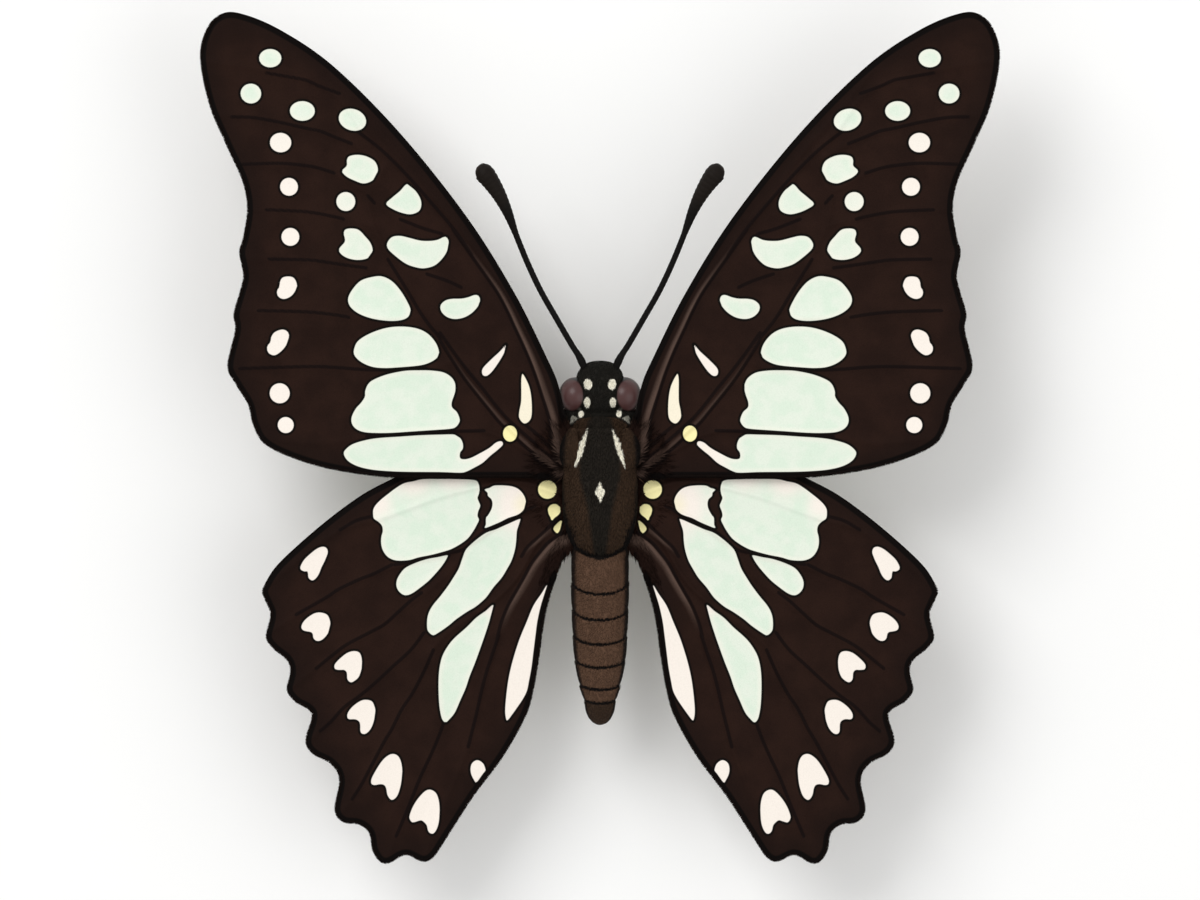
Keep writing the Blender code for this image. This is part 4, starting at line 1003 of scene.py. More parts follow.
fringe_finish = finish(
    "wing_fringe",
    lambda: {"Base Color": blend(noise(0.4), paint(8, 5, 4), paint(22, 14, 11))},
    Roughness=0.8, Specular_IOR_Level=0.06,
)


def fringe(name, knots, apex, height, skip_x):
    """Two rows of dark scales round the outer margin and hind edge of a wing, pointing out across the edge.
    FRINGE_ROWS gives each row's place on the bake map and its height over the sheet.
    """
    line = curve(knots, KNOT_STEPS)[apex * KNOT_STEPS :]
    line = spread(line, int(lengths(line)[-1] / FRINGE_STEP))
    run = unit(np.gradient(line, axis=0))
    outwards = np.stack([-run[:, 1], run[:, 0]], axis=1)
    keep = line[:, 0] > skip_x
    share = lengths(line)[keep] / lengths(line)[-1]
    line, outwards = line[keep], outwards[keep]
    root = line - outwards * (FRINGE_ROOM + FRINGE_ROOT)
    level = np.zeros(len(line))
    normal = np.column_stack([level, level, level + 1])
    rows, places = [], []
    for row_place, up in FRINGE_ROWS.items():
        lie = unit(np.column_stack([outwards + rng.normal(0, FRINGE_STRAY, outwards.shape), level]))
        length = FRINGE_LENGTH * rng.uniform(FRINGE_SHORTEST, 1.0, len(line))
        start = np.column_stack([root, height(line) - 0.5 * SAG + up])
        rows.append(blades(start, normal, lie, length, FRINGE_WIDTH, 0.0, 0.0))
        places.append(np.column_stack([share, level + row_place]))
    patches = blade_patches(np.concatenate(places))
    add_pair(f"{name}_{{}}_fringe", *joined(rows), fringe_finish, "wing", (), None, patches)


fringe("forewing", FOREWING_KNOTS, FOREWING_APEX, forewing_height, 3.6)
fringe("hindwing", HINDWING_KNOTS, HINDWING_APEX, hindwing_height, 3.2)

# %% [markdown]
# ## The body under its coat
#
# Head, neck, thorax and abdomen are one skin, so no seam shows. Spheres joined by a remesh would lump
# together, and the rings of the abdomen would be lost. So each part is a simple solid with a formula:
# ellipsoids for head and collar, a rounded box that tapers behind for the thorax, and a turned profile of
# bulging rings for the abdomen. From every place on the body's axis, rays go out all round, and the skin lies
# where a ray leaves the smooth union of the solids. That place is found by halving, for all rays at once.

# %% Head and neck as gaps
HEAD_CENTRE = np.array([0.0, 3.66, 8.2])
HEAD_HALF = np.array([1.93, 2.2, 1.72])
HEAD_DOWN = 1.95
HEAD_SQUARENESS = 2.5
COLLAR_CENTRE = np.array([0.0, 0.95, 8.35])
COLLAR_HALF = np.array([2.45, 1.15, 1.9])
NECK_CENTRE = np.array([1.7, 1.75, 7.8])
NECK_HALF = np.array([1.1, 0.85, 1.25])
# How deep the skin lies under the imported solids, where the coat fills the rest
HEAD_COAT, COLLAR_COAT, THORAX_COAT, ABDOMEN_COAT = 0.12, 0.2, 0.2, 0.04


def ellipsoid_gap(places, centre, half):
    """Roughly how far a place is outside an ellipsoid: stretched radius less one, times the least half."""
    return (np.linalg.norm((places - centre) / half, axis=-1) - 1) * min(half)


def head_gap(places):
    """The same for the head, whose sections are a little squarer and reach farther down than up."""
    away = np.abs(places - HEAD_CENTRE)
    down = np.where(places[..., 2:] < HEAD_CENTRE[2], HEAD_DOWN, HEAD_HALF[2])
    half = np.concatenate([np.broadcast_to(HEAD_HALF[:2], (*down.shape[:-1], 2)), down], axis=-1) - HEAD_COAT
    size = ((away / half) ** HEAD_SQUARENESS).sum(axis=-1) ** (1 / HEAD_SQUARENESS)
    return (size - 1) * HEAD_HALF[2]


print(f"at its own centre the head's gap is {head_gap(HEAD_CENTRE):.2f}")

# %% Thorax as a gap
THORAX_FRONT_Y, THORAX_BACK_Y = 1.2, -9.35
THORAX_AXIS_Z = 8.7
THORAX_HALF_WIDTH = 2.93
THORAX_UP, THORAX_DOWN = 3.0, 3.5
SQUARENESS = 2.4
THORAX_SCALE = 2.4
# Powers that round the plan in front and behind, and the back seen from the side
FRONT_ROUND, BACK_ROUND, DOME_ROUND = (5, 0.45), (2.6, 0.5), (2.5, 0.5)
NEARLY_END, WALL_FROM, END_WALL = 0.9999, 0.995, 40


def rounding(share, powers):
    """1 in the middle and 0 at the end: 1 less a power of the share, to another power."""
    return (1 - share ** powers[0]) ** powers[1]


def thorax_gap(places):
    """The same for the thorax: rounded-square sections, square in front and tapering behind."""
    middle = (THORAX_FRONT_Y + THORAX_BACK_Y) / 2
    half_length = (THORAX_FRONT_Y - THORAX_BACK_Y) / 2 - 0.5 * THORAX_COAT
    along = (places[..., 1] - middle) / half_length
    inside = np.clip(np.abs(along), 0, NEARLY_END)
    end = np.where(along > 0, rounding(inside, FRONT_ROUND), rounding(inside, BACK_ROUND))
    up = places[..., 2] - THORAX_AXIS_Z
    height = np.where(up > 0, THORAX_UP, THORAX_DOWN) - THORAX_COAT
    wide = np.abs(places[..., 0]) / ((THORAX_HALF_WIDTH - THORAX_COAT) * end)
    tall = np.abs(up) / (height * rounding(inside, DOME_ROUND))
    beyond = half_length * np.clip(np.abs(along) - WALL_FROM, 0, None)
    size = (wide**SQUARENESS + tall**SQUARENESS) ** (1 / SQUARENESS)
    return (size - 1) * THORAX_SCALE + END_WALL * beyond


print(f"3 units to the side of its middle the thorax's gap is {thorax_gap(np.array([3.0, -4.0, 8.7])):.2f}")

# %% Abdomen as a gap
ABDOMEN_START_Y, ABDOMEN_TIP_Y = -7.6, -21.5
SEGMENT_ENDS_Y = [-10.75, -12.8, -14.75, -16.6, -18.45, -19.6]
SEGMENT_HALF_WIDTHS = [2.0, 2.1, 2.05, 1.97, 1.86, 1.49, 1.16]
SEGMENT_BULGE, RING_GROOVE, GROOVE_WIDTH = 0.1, 0.1, 0.09
TIP_ROUND = (2.4, 0.5)
RING_SLOPE_Y, RING_SLOPE = [-19.6, -10.75], [0.3, 0.5]
ABDOMEN_AXIS_Z = 8.0
ABDOMEN_TIP_DROP = 0.9
PROFILE_STEPS = 400
FRONT_WALL = 3


def abdomen_axis(y):
    """Height of the abdomen's axis, which droops to the tip."""
    share = np.clip((ABDOMEN_START_Y - y) / (ABDOMEN_START_Y - ABDOMEN_TIP_Y), 0, 1)
    return ABDOMEN_AXIS_Z - ABDOMEN_TIP_DROP * share**2


def abdomen_profile():
    """Stations along the abdomen and its half width there: bulging rings with a groove between them."""
    ends = [ABDOMEN_START_Y, *SEGMENT_ENDS_Y]
    stations = np.linspace(ABDOMEN_START_Y, ABDOMEN_TIP_Y, PROFILE_STEPS)
    width = np.interp(-stations, -np.array(ends), SEGMENT_HALF_WIDTHS)
    for near, far in zip(ends, ends[1:]):
        share = np.clip((near - stations) / (near - far), 0, 1)
        width += SEGMENT_BULGE * np.sqrt(np.sin(np.pi * share).clip(0))
        width -= RING_GROOVE * np.exp(-(((stations - far) / GROOVE_WIDTH) ** 2))
    beyond = np.clip((ends[-1] - stations) / (ends[-1] - ABDOMEN_TIP_Y), 0, 1)
    width *= np.where(beyond > 0, rounding(beyond, TIP_ROUND), 1)
    return stations[::-1], width[::-1]


ABDOMEN_STATIONS, ABDOMEN_WIDTHS = abdomen_profile()


def ring_station(places):
    """Where along the abdomen's profile a place lies: the rings lean back above."""
    slope = np.interp(places[..., 1], RING_SLOPE_Y, RING_SLOPE)
    return places[..., 1] + slope * (places[..., 2] - abdomen_axis(places[..., 1]))


def abdomen_gap(places):
    """The same for the abdomen: the distance from its axis less its half width, with a wall at each end."""
    station = ring_station(places)
    width = np.interp(station, ABDOMEN_STATIONS, ABDOMEN_WIDTHS) - ABDOMEN_COAT
    beyond = np.clip(ABDOMEN_TIP_Y - station, 0, None)
    beyond = beyond + FRONT_WALL * np.clip(station - ABDOMEN_START_Y, 0, None)
    return np.hypot(places[..., 0], places[..., 2] - abdomen_axis(places[..., 1])) - width + beyond


print(f"the abdomen is {2 * ABDOMEN_WIDTHS.max():.2f} wide at its widest ring")

# %% The skin by rays from the axis
# How wide the creases are filled: head to collar, to the neck beside it, to the thorax, to the abdomen
CREASES = (0.35, 0.3, 0.8, 0.12)
AROUND = 120
NOSE_ROWS, TAIL_ROWS = 36, 30
TRUNK_STEP = 0.095
TAIL_CENTRE_Y = -19.3
REACH = 5.0
HALVINGS = 22
STEEPEST = 89
AXIS_LIFT_Y = [-7.6, -4.0, 1.5, 3.66]
AXIS_LIFT = [0.0, 0.25, 0.3, 0.2]


def merged(first, second, soft):
    """The lesser of two gaps, with the crease between them filled over the given width."""
    near = np.clip(soft - np.abs(first - second), 0, None) / soft
    return np.minimum(first, second) - 0.25 * soft * near**2


def body_gap(places):
    """The gap of the whole body: head, collar, neck, thorax and abdomen, merged one after the other."""
    right = np.concatenate([np.abs(places[..., :1]), places[..., 1:]], axis=-1)
    gap = head_gap(places)
    others = (
        ellipsoid_gap(places, COLLAR_CENTRE, COLLAR_HALF - COLLAR_COAT),
        ellipsoid_gap(right, NECK_CENTRE, NECK_HALF), thorax_gap(places), abdomen_gap(places),
    )
    for other, soft in zip(others, CREASES):
        gap = merged(gap, other, soft)
    return gap


def axis_height(y):
    """Height of the line that the rays start from: through the head, the thorax and the abdomen."""
    return abdomen_axis(y) + np.interp(y, AXIS_LIFT_Y, AXIS_LIFT)


def directions(lean, count):
    """Rows of unit vectors round the body's axis, each row leaning forwards by an angle."""
    turn = np.linspace(0, math.tau, count, endpoint=False)[None]
    rows = [np.cos(lean) * np.cos(turn), np.sin(lean) + 0 * turn, np.cos(lean) * np.sin(turn)]
    return np.stack(rows, axis=2)


def skin_grid():
    """Rows of skin points from nose to tail. Rays fan out from the head's centre, then leave the axis
    squarely, and fan in at the tail. On each ray the skin is found by halving between the axis and REACH.
    """
    trunk = int((HEAD_CENTRE[1] - TAIL_CENTRE_Y) / TRUNK_STEP)
    y = np.concatenate([
        np.full(NOSE_ROWS, HEAD_CENTRE[1]), np.linspace(HEAD_CENTRE[1], TAIL_CENTRE_Y, trunk),
        np.full(TAIL_ROWS, TAIL_CENTRE_Y),
    ])
    lean = np.radians(np.concatenate([
        np.linspace(STEEPEST, 0, NOSE_ROWS + 1)[:-1], np.zeros(trunk),
        np.linspace(0, -STEEPEST, TAIL_ROWS + 1)[1:],
    ]))[:, None]
    origin = np.stack([np.zeros_like(y), y, axis_height(y)], axis=1)[:, None]
    ray = directions(lean, AROUND)
    near = np.zeros(ray.shape[:2])
    far = np.full(ray.shape[:2], REACH)
    for _ in range(HALVINGS):
        half = 0.5 * (near + far)
        within = body_gap(origin + half[..., None] * ray) < 0
        near = np.where(within, half, near)
        far = np.where(within, far, half)
    return origin + near[..., None] * ray


skin = skin_grid()
print(f"the skin reaches from y = {skin[..., 1].max():.2f} to y = {skin[..., 1].min():.2f}")

# %% [markdown]
# ## Markings of the body
#
# The head is nearly black with three cream spots beside each eye and a grey one on the neck. The thorax has a
# dark shield between browner sides, two cream streaks and a cream diamond. The abdomen is brown, darker at
# its joints and tip, and pale below, as in the living animal. Painted shade darkens the flanks of thorax and
# abdomen to near black, where they turn away from the light above. Hair painted apart from the skin would
# drift from it, so skin and hair read the same values, worked out by one function.

# %% Markings of the body
# How strong each mark is, and its outline on the right side
BODY_MARKS = [
    (1.0, oval(0.89, 4.03, 0.62, 0.82)),
    (1.0, oval(0.96, 2.66, 0.48, 0.8)),
    (1.0, oval(1.42, 1.8, 0.42, 0.56)),
    (0.3, loop([(1.6, 1.42), (1.9, 1.62), (2.12, 1.68), (2.2, 1.4), (2.22, 1.08), (1.9, 1.22)])),
    (1.0, loop([(0.86, 0.66), (1.12, 0.2), (1.42, -0.35), (1.68, -0.85), (1.72, -1.4), (1.84, -2.25),
                (1.5, -1.7), (1.22, -1.05), (1.1, -0.6), (0.95, 0.0)])),
    (1.0, loop([(0.0, -3.35), (0.2, -3.75), (0.36, -4.08), (0.16, -4.45), (0.0, -4.76), (-0.36, -4.08)])),
]
MARKS_UP = 0.3
# Half widths of the dark shield and of the whole chest, and the hind edge of the thorax, all seen from above
SHIELD_Y = [-9.0, -7.0, -5.0, -3.0, -1.0, 0.6, 1.6]
SHIELD_HALF = [0.35, 0.6, 0.9, 1.4, 1.45, 1.0, 0.55]
CHEST_Y = [-9.1, -8.8, -8.4, -7.7, -5.7, -3.0, -0.65, 0.42, 1.08, 1.48, 1.66]
CHEST_HALF = [0.2, 1.0, 1.6, 2.1, 2.75, 2.95, 2.85, 2.63, 2.09, 1.43, 0.2]
REAR_X, REAR_Y = [0.0, 1.0, 1.7, 2.1], [-8.98, -8.72, -8.3, -7.8]
CREASE_SHARE, REAR_SHARE = 0.6, 0.75
RINGS_FROM_Y, WAIST_Y, WAIST_OUT = -9.3, -5, 0.04
TAIL_REACH = (19.4, 19.8)
BELLY_HALF, BELLY_REACH = 2.2, (0.05, 0.5)
LEAST_HALF_WIDTH = 0.3
HEAD_ZONE, THORAX_ZONE, ABDOMEN_ZONE = 0.0, 1.0, 2.0


def body_values(places):
    """The values of skin or hair at given places: marks, their tone, the shield, joints, zones and belly."""
    flat = places.reshape(-1, 3)
    x, y = np.abs(flat[:, 0]), flat[:, 1]
    mark = np.full(len(flat), 1.0)
    tone = np.zeros(len(flat))
    for strength, shape in BODY_MARKS:
        gap = to_loop(np.column_stack([x, y]), shape)
        nearer = gap < mark
        mark[nearer] = gap[nearer]
        tone[nearer] = strength
    up = flat[:, 2] - axis_height(y)
    station = ring_station(flat)
    beside_thorax = thorax_gap(flat)
    rings = np.min([np.abs(station - at) for at in SEGMENT_ENDS_Y], axis=0)
    crease = CREASE_SHARE * np.maximum(np.abs(beside_thorax), np.abs(abdomen_gap(flat)))
    joint = np.minimum(crease, np.where(y < RINGS_FROM_Y, rings, 1.0))
    rear = np.interp(x, REAR_X, REAR_Y)
    chest = np.interp(y, CHEST_Y, CHEST_HALF)
    in_front = (y > 0) & (x > chest) | (y > CHEST_Y[-1])
    on_abdomen = (y < WAIST_Y) & (beside_thorax > WAIST_OUT) | (y < rear)
    zone = np.where(in_front, HEAD_ZONE, np.where(on_abdomen, ABDOMEN_ZONE, THORAX_ZONE))
    width = np.where(on_abdomen & ~in_front, np.interp(station, ABDOMEN_STATIONS, ABDOMEN_WIDTHS), chest)
    return {
        "mark": np.where(up > MARKS_UP, mark, 1.0), "tone": tone, "zone": zone,
        "side": x - np.interp(y, SHIELD_Y, SHIELD_HALF),
        "joint": np.minimum(joint, REAR_SHARE * np.abs(y - rear)), "tail": rise(-station, *TAIL_REACH),
        "flank": x / np.maximum(width, LEAST_HALF_WIDTH), "belly": rise(-up / BELLY_HALF, *BELLY_REACH),
    }


skin_values = body_values(skin)
print(f"{(skin_values['mark'] < 0).mean():.1%} of the skin's points lie in cream marks")

# %% Colours of the body
GRAIN_SIZE = 0.09
ZONE_EDGE = 0.1


def zoned(edge, front, back):
    """The front colour where the zone is under the edge, and the back colour beyond it."""
    return blend(step(carried("zone"), edge - ZONE_EDGE, edge + ZONE_EDGE), front, back)


def thorax_colour(cloud):
    """The dark shield, the browner sides, and painted shade that turns each flank black."""
    shield = blend(cloud, paint(29, 25, 20), paint(41, 36, 30))
    flank = blend(cloud, paint(54, 39, 27), paint(68, 50, 36))
    thorax = blend(step(carried("side"), -0.15, 0.3), shield, flank)
    # Painted shade: the flanks go black where they turn away from the light above.
    return blend(step(carried("flank"), 0.84, 0.97), thorax, paint(15, 10, 8))


def abdomen_colour(cloud):
    """Brown rings, darker to the tip, with painted shade turning the flanks black."""
    rings = blend(cloud, paint(88, 64, 49), paint(102, 76, 59))
    rings = blend(carried("tail"), rings, paint(58, 43, 32))
    # Painted shade: the flanks go dark where they turn away from the light above.
    return blend(step(carried("flank"), 0.76, 0.91), rings, paint(26, 18, 14))


def body_recipe():
    """Colour of skin and hair: zone by zone, then the belly, the joints and the marks, with random tone and
    painted shade that darkens each hair towards its root.
    """
    cloud = noise(0.9, 3.0)
    in_mark = step(carried("mark"), 0.03, -0.03)
    head = blend(cloud, paint(20, 19, 16), paint(34, 31, 26))
    colour = zoned(1.5, zoned(0.5, head, thorax_colour(cloud)), abdomen_colour(cloud))
    colour = blend(carried("belly"), colour, zoned(1.5, paint(122, 108, 92), paint(196, 182, 156)))
    colour = blend(step(carried("joint"), 0.2, 0.1), colour, paint(14, 9, 7))
    colour = blend(in_mark, colour, blend(carried("tone"), colour, paint(255, 250, 232)))
    grain = cells(GRAIN_SIZE)
    # Random tone per hair, and painted shade: each hair darker at its root and lighter at its point, except
    # in the marks.
    tone_and_root_shade = (0.82 + 0.36 * carried("vary")) * (1.05 - 0.2 * grain) * (0.75 + 0.35 * carried("point"))
    tone_and_root_shade = tone_and_root_shade * (1.0 - in_mark) + (0.92 + 0.16 * carried("vary")) * in_mark
    return {"Base Color": tinted(colour, tone_and_root_shade), "Normal": bump(1.0 - grain, 0.03, 0.6)}


body_finish = finish("body_coat", body_recipe, Roughness=0.75, Specular_IOR_Level=0.12)
skin_values.update(vary=np.full(skin[..., 0].size, 0.5), point=np.full(skin[..., 0].size, 0.6))
skin_values = {key: np.concatenate([n, n[:1], n[-1:]]) for key, n in skin_values.items()}
nodes = ["head", "prothorax", "thorax", "abdomen"]
add_piece("body_skin", *closed_tube(skin), body_finish, "thorax_fur", nodes, skin_values)

# %% [markdown]
# ## The coat
#
# Hair stands on the head and thorax and lies back along the body, longer on the sides and behind. The abdomen
# carries short flat scales that follow its rings. Combing them by hand would be slow and hard to change, so
# places for the hairs are drawn evenly by area on the skin, with a fixed seed, and each hair gets its
# direction from where it stands.

# %% Places on a grid surface


def scatter(grid, wanted, weight=None):
    """Random places on a surface, even by area times a weight: places, normals and shares along the grid.

    A cell of the grid is drawn by its area, and a place in it by two more numbers.
    """
    a, b, c, d = grid[:-1, :-1], grid[1:, :-1], grid[1:, 1:], grid[:-1, 1:]
    cross = np.cross(c - a, d - b)
    area = np.linalg.norm(cross, axis=2) / 2
    if weight is not None:
        area = area * weight((a + c) / 2)
    cell = rng.choice(area.size, wanted, p=area.ravel() / area.sum())
    i, j = np.divmod(cell, area.shape[1])
    s, t = rng.random((2, wanted, 1))
    spot = (1 - s) * ((1 - t) * a[i, j] + t * d[i, j]) + s * ((1 - t) * b[i, j] + t * c[i, j])
    share = np.column_stack([(i + s[:, 0]) / area.shape[0], (j + t[:, 0]) / area.shape[1]])
    return spot, unit(cross[i, j]), share


def facing_out(normal, spot, inner):
    """Normals turned away from inner places."""
    turned = np.einsum("ij,ij->i", normal, spot - inner) < 0
    return np.where(turned[:, None], -normal, normal)


def closed_round(sections):
    """The sections with their first column repeated, so that the last cell closes the ring."""
    return np.concatenate([sections, sections[:, :1]], axis=1)


print(f"the skin has {skin.shape[0]} rows of {skin.shape[1]} points to scatter hair on")

# %% The body's coat
CROWN_Y = (3.9, 5.3)
LIE_DOWN, STRAY = 0.25, 0.16
COAT_LENGTHS, COAT_WIDTHS = (0.75, 1.1), (0.7, 1.2)
COLOUR_PLACE = 0.45
BARE_BELOW = 0.12
# Length on the thorax: above, what is added low down and behind, and where that begins and is reached
THORAX_HAIR = (0.42, 0.35, 0.15)
LOW_HAIR_UP, LOW_HAIR_REACH, REAR_HAIR = 1.2, 2.5, (6, 9)
SHORT_HAIR = 0.26


def coat(name, count, weight, length, width, lift, slot):
    """Hair on the body where the weight is above zero. Length is a function of the places. The hair lies
    backwards, and turns forwards over the crown of the head. It takes its marks from under its middle.
    """
    spot, normal, share = scatter(closed_round(skin), count, weight)
    y = np.clip(spot[:, 1], TAIL_CENTRE_Y, HEAD_CENTRE[1])
    normal = facing_out(normal, spot, np.column_stack([0 * y, y, axis_height(y)]))
    run = 2 * rise(spot[:, 1], *CROWN_Y) - 1
    lie = unit(np.column_stack([0 * run, run, 0 * run - LIE_DOWN]) + rng.normal(0, STRAY, (count, 3)))
    reach = length(spot) * rng.uniform(*COAT_LENGTHS, count)
    hair = blades(spot, normal, lie, reach, width * rng.uniform(*COAT_WIDTHS, count), lift)
    values = body_values(spot + COLOUR_PLACE * reach[:, None] * lie)
    values["zone"] = body_values(spot)["zone"]
    values = {key: per_blade(numbers) for key, numbers in values.items()}
    values.update(vary=per_blade(rng.random(count)), point=tips(count))
    add_piece(name, *hair, body_finish, slot, (), values, blade_patches(share))


def between(places, low, high):
    """True between two stations along the body."""
    return (places[..., 1] > low) & (places[..., 1] < high)


def thorax_hair(spot):
    """Hair length on the thorax: short above, longer at the sides, below and behind."""
    above, more_low, more_behind = THORAX_HAIR
    low = rise(THORAX_AXIS_Z + LOW_HAIR_UP - spot[:, 2], 0, LOW_HAIR_REACH)
    return above + more_low * low + more_behind * rise(-spot[:, 1], *REAR_HAIR)


def short_hair(spot):
    """The same short length everywhere."""
    return np.full(len(spot), SHORT_HAIR)


coat("thorax_coat", 18000, lambda p: between(p, -9.6, 1.6) & ((thorax_gap(p) < BARE_BELOW) | (p[..., 1] > 0)),
     thorax_hair, 0.1, 0.3, "thorax_fur")
coat("head_coat", 6500, lambda p: between(p, 1.5, 6.0), short_hair, 0.07, 0.45, "head_fur")
coat("abdomen_coat", 15000, lambda p: between(p, -21.6, -8.0) & (thorax_gap(p) > 0),
     short_hair, 0.13, 0.16, "abdomen_scales")

# %% [markdown]
# ## Hair on the wing roots
#
# Long soft hair grows over the roots of the wings and down the hindwing's inner edge, above and below. A
# painted smudge would look like dirt from close by, so it is made of blades too. It lies along the wing, away
# from the body, takes the colour of the place it grows from, and ends before the next window.

# %% Hair on the wing roots
ROOT_HAIR_REACH, ROOT_HAIR_FADE = 3.6, 1.6
ROOT_HAIR_LENGTH, ROOT_HAIR_WIDTH, ROOT_HAIR_LIFT = 0.95, 0.075, 0.13
ROOT_HAIR_LENGTHS, ROOT_HAIR_STRAY, ROOT_HAIR_SINK = (0.6, 1.1), 0.1, 0.02
INNER_HAIR_REACH, INNER_HAIR_FADE, INNER_HAIR_SHARE = 1.2, 0.7, 0.8
INNER_HAIR_END_Y, INNER_HAIR_THINS = -19.0, 6
WINDOW_CLEARANCE, WINDOW_SHARE = 0.3, 0.85
inner_edge = curve(HINDWING_KNOTS[HINDWING_TORNUS:], 5)


def root_hair(wing, grid, centre, with_edge, counts):
    """Points, faces, values and map places of the hair on both faces of a wing. It grows densest at a centre
    and, if asked, beside the inner edge.
    """
    points, _, values = wing
    rows, columns = grid

    def weight(places):
        plan = places[..., :2].reshape(-1, 2)
        near = rise(ROOT_HAIR_REACH - np.linalg.norm(plan - centre, axis=1), 0, ROOT_HAIR_FADE)
        if with_edge:
            beside = rise(INNER_HAIR_REACH - to_line(plan, inner_edge)[0], 0, INNER_HAIR_FADE)
            thinning = rise(plan[:, 1] - INNER_HAIR_END_Y, 0, INNER_HAIR_THINS)
            near = np.maximum(near, INNER_HAIR_SHARE * beside * thinning)
        return near.reshape(places.shape[:-1])

    hair, picked, shares = [], [], []
    for under, count in enumerate(counts):
        start = under * rows * columns
        surface = points[start : start + rows * columns].reshape(rows, columns, 3)
        spot, normal, share = scatter(surface, count, weight)
        normal = facing_out(normal, spot, spot - [0, 0, 1 - 2 * under])
        at = start + (share * [rows - 1, columns - 1]).astype(int) @ [columns, 1]
        keep = values["window"][at] > WINDOW_CLEARANCE
        spot, normal, share, at = spot[keep], normal[keep], share[keep], at[keep]
        away = np.column_stack([spot[:, :2] - centre, np.zeros(len(spot))])
        lie = unit(unit(away) + rng.normal(0, ROOT_HAIR_STRAY, away.shape))
        length = ROOT_HAIR_LENGTH * rng.uniform(*ROOT_HAIR_LENGTHS, len(spot))
        length = np.minimum(length, WINDOW_SHARE * values["window"][at])
        hair.append(blades(spot, normal, lie, length, ROOT_HAIR_WIDTH, ROOT_HAIR_LIFT, ROOT_HAIR_SINK))
        picked.append(at)
        shares.append(share * [0.5, 1.0] + [0.5 * under, 0.0])
    at = np.concatenate(picked)
    at_root = {key: per_blade(numbers[at]) for key, numbers in values.items()}
    return *joined(hair), at_root, blade_patches(np.concatenate(shares))


for kind, wing, grid, centre, counts in (
    ("forewing", forewing, FOREWING_GRID, (1.6, -2.0), (1500, 700)),
    ("hindwing", hindwing, HINDWING_GRID, (1.6, -4.4), (2600, 1500)),
):
    points, faces, values, patches = root_hair(wing, grid, centre, kind == "hindwing", counts)
    add_pair(f"{kind}_{{}}_coat", points, faces, wing_finish, "wing", (), values, patches)

# %% [markdown]
# ## Feelers
#
# A feeler is a ringed shaft with a long club. A bevelled curve would do, but its rings would need a texture.
# So a profile is carried along a path: a ring of points round each place, as wide as the radius there. The
# palps, the sucking tube and the legs are made the same way.

# %% Feelers
ANTENNA_ROUTE = [
    (0.85, 4.5), (1.5, 6.0), (2.13, 7.0), (3.29, 9.0), (4.43, 11.0), (5.38, 13.0), (6.2, 15.0), (6.9, 16.85),
    (7.55, 18.2), (8.25, 19.3), (8.77, 19.92), (9.24, 20.22),
]
ANTENNA_ROOT_Y, ANTENNA_ROOT_Z, ANTENNA_RISE = 5.0, 8.75, 0.24
ANTENNA_STEPS, ANTENNA_ROWS, ANTENNA_SIDES = 8, 300, 18
SHAFT, CLUB = 0.23, 0.76
CLUB_SHARE, CLUB_WIDEST, CLUB_SWELL = 0.33, 0.86, 1.15
SOCKET, SOCKET_AT, SOCKET_REACH = 0.07, 0.075, 0.03
FEELER_RINGS, RING_DEPTH = 46, 0.05


def tube(path, radii, sides, across):
    """Sections of a tube: round each place, a ring spanned by one direction across the path and the one
    square to both.
    """
    run = unit(np.gradient(path, axis=0))
    up = unit(np.cross(run, np.asarray(across, float)))
    wide = unit(np.cross(up, run))
    turn = np.linspace(0, math.tau, sides, endpoint=False)[None, :, None]
    ring = np.cos(turn) * wide[:, None] + np.sin(turn) * up[:, None]
    return path[:, None] + np.asarray(radii)[:, None, None] * ring


def feeler():
    """A ringed shaft with a swelling at its socket and a long rounded club."""
    plan = spread(curve(ANTENNA_ROUTE, ANTENNA_STEPS), ANTENNA_ROWS)
    share = np.linspace(0, 1, len(plan))
    path = np.column_stack([plan, ANTENNA_ROOT_Z + ANTENNA_RISE * (plan[:, 1] - ANTENNA_ROOT_Y)])
    into = np.clip((share - 1 + CLUB_SHARE) / CLUB_SHARE, 0, 1)
    swell = np.clip(into / CLUB_WIDEST, 0, 1) ** CLUB_SWELL
    close = np.sqrt(np.clip(1 - (np.clip(into - CLUB_WIDEST, 0, 1) / (1 - CLUB_WIDEST)) ** 2, 0.01, 1))
    socket = SOCKET * np.exp(-(((share - SOCKET_AT) / SOCKET_REACH) ** 2))
    radii = (SHAFT + (CLUB - SHAFT) * swell) * close + socket
    radii *= 1 - RING_DEPTH * np.abs(np.cos(np.pi * FEELER_RINGS * share)) ** 6
    sections = tube(path, radii, ANTENNA_SIDES, (0, 0, 1))
    return *closed_tube(sections), {"club": np.append(np.repeat(into, ANTENNA_SIDES), [0.0, 1.0])}


def feeler_recipe():
    """Nearly black scales, browner on the club and at its end."""
    grain = cells(0.07)
    colour = blend(step(carried("club"), 0.25, 0.6), paint(11, 8, 7), paint(26, 20, 16))
    colour = blend(step(carried("club"), 0.97, 1.0), colour, paint(40, 30, 23))
    return {"Base Color": tinted(colour, 1.1 - 0.3 * grain), "Normal": bump(1.0 - grain, 0.02, 0.5)}


feeler_finish = finish("feeler_scales", feeler_recipe, Roughness=0.6, Specular_IOR_Level=0.1)
points, faces, values = feeler()
add_pair("antenna_{}_shaft", points, faces, feeler_finish, "antenna", ["antenna_{}"], values)

# %% [markdown]
# ## Eyes
#
# Each eye is a smooth bulge of thousands of facets. Modelled one by one they would be too fine to see, so
# they are a fine bump under a clear coat. The face is plum brown, and painted shade darkens it to a black rim
# at the edge seen from above, as drawn.

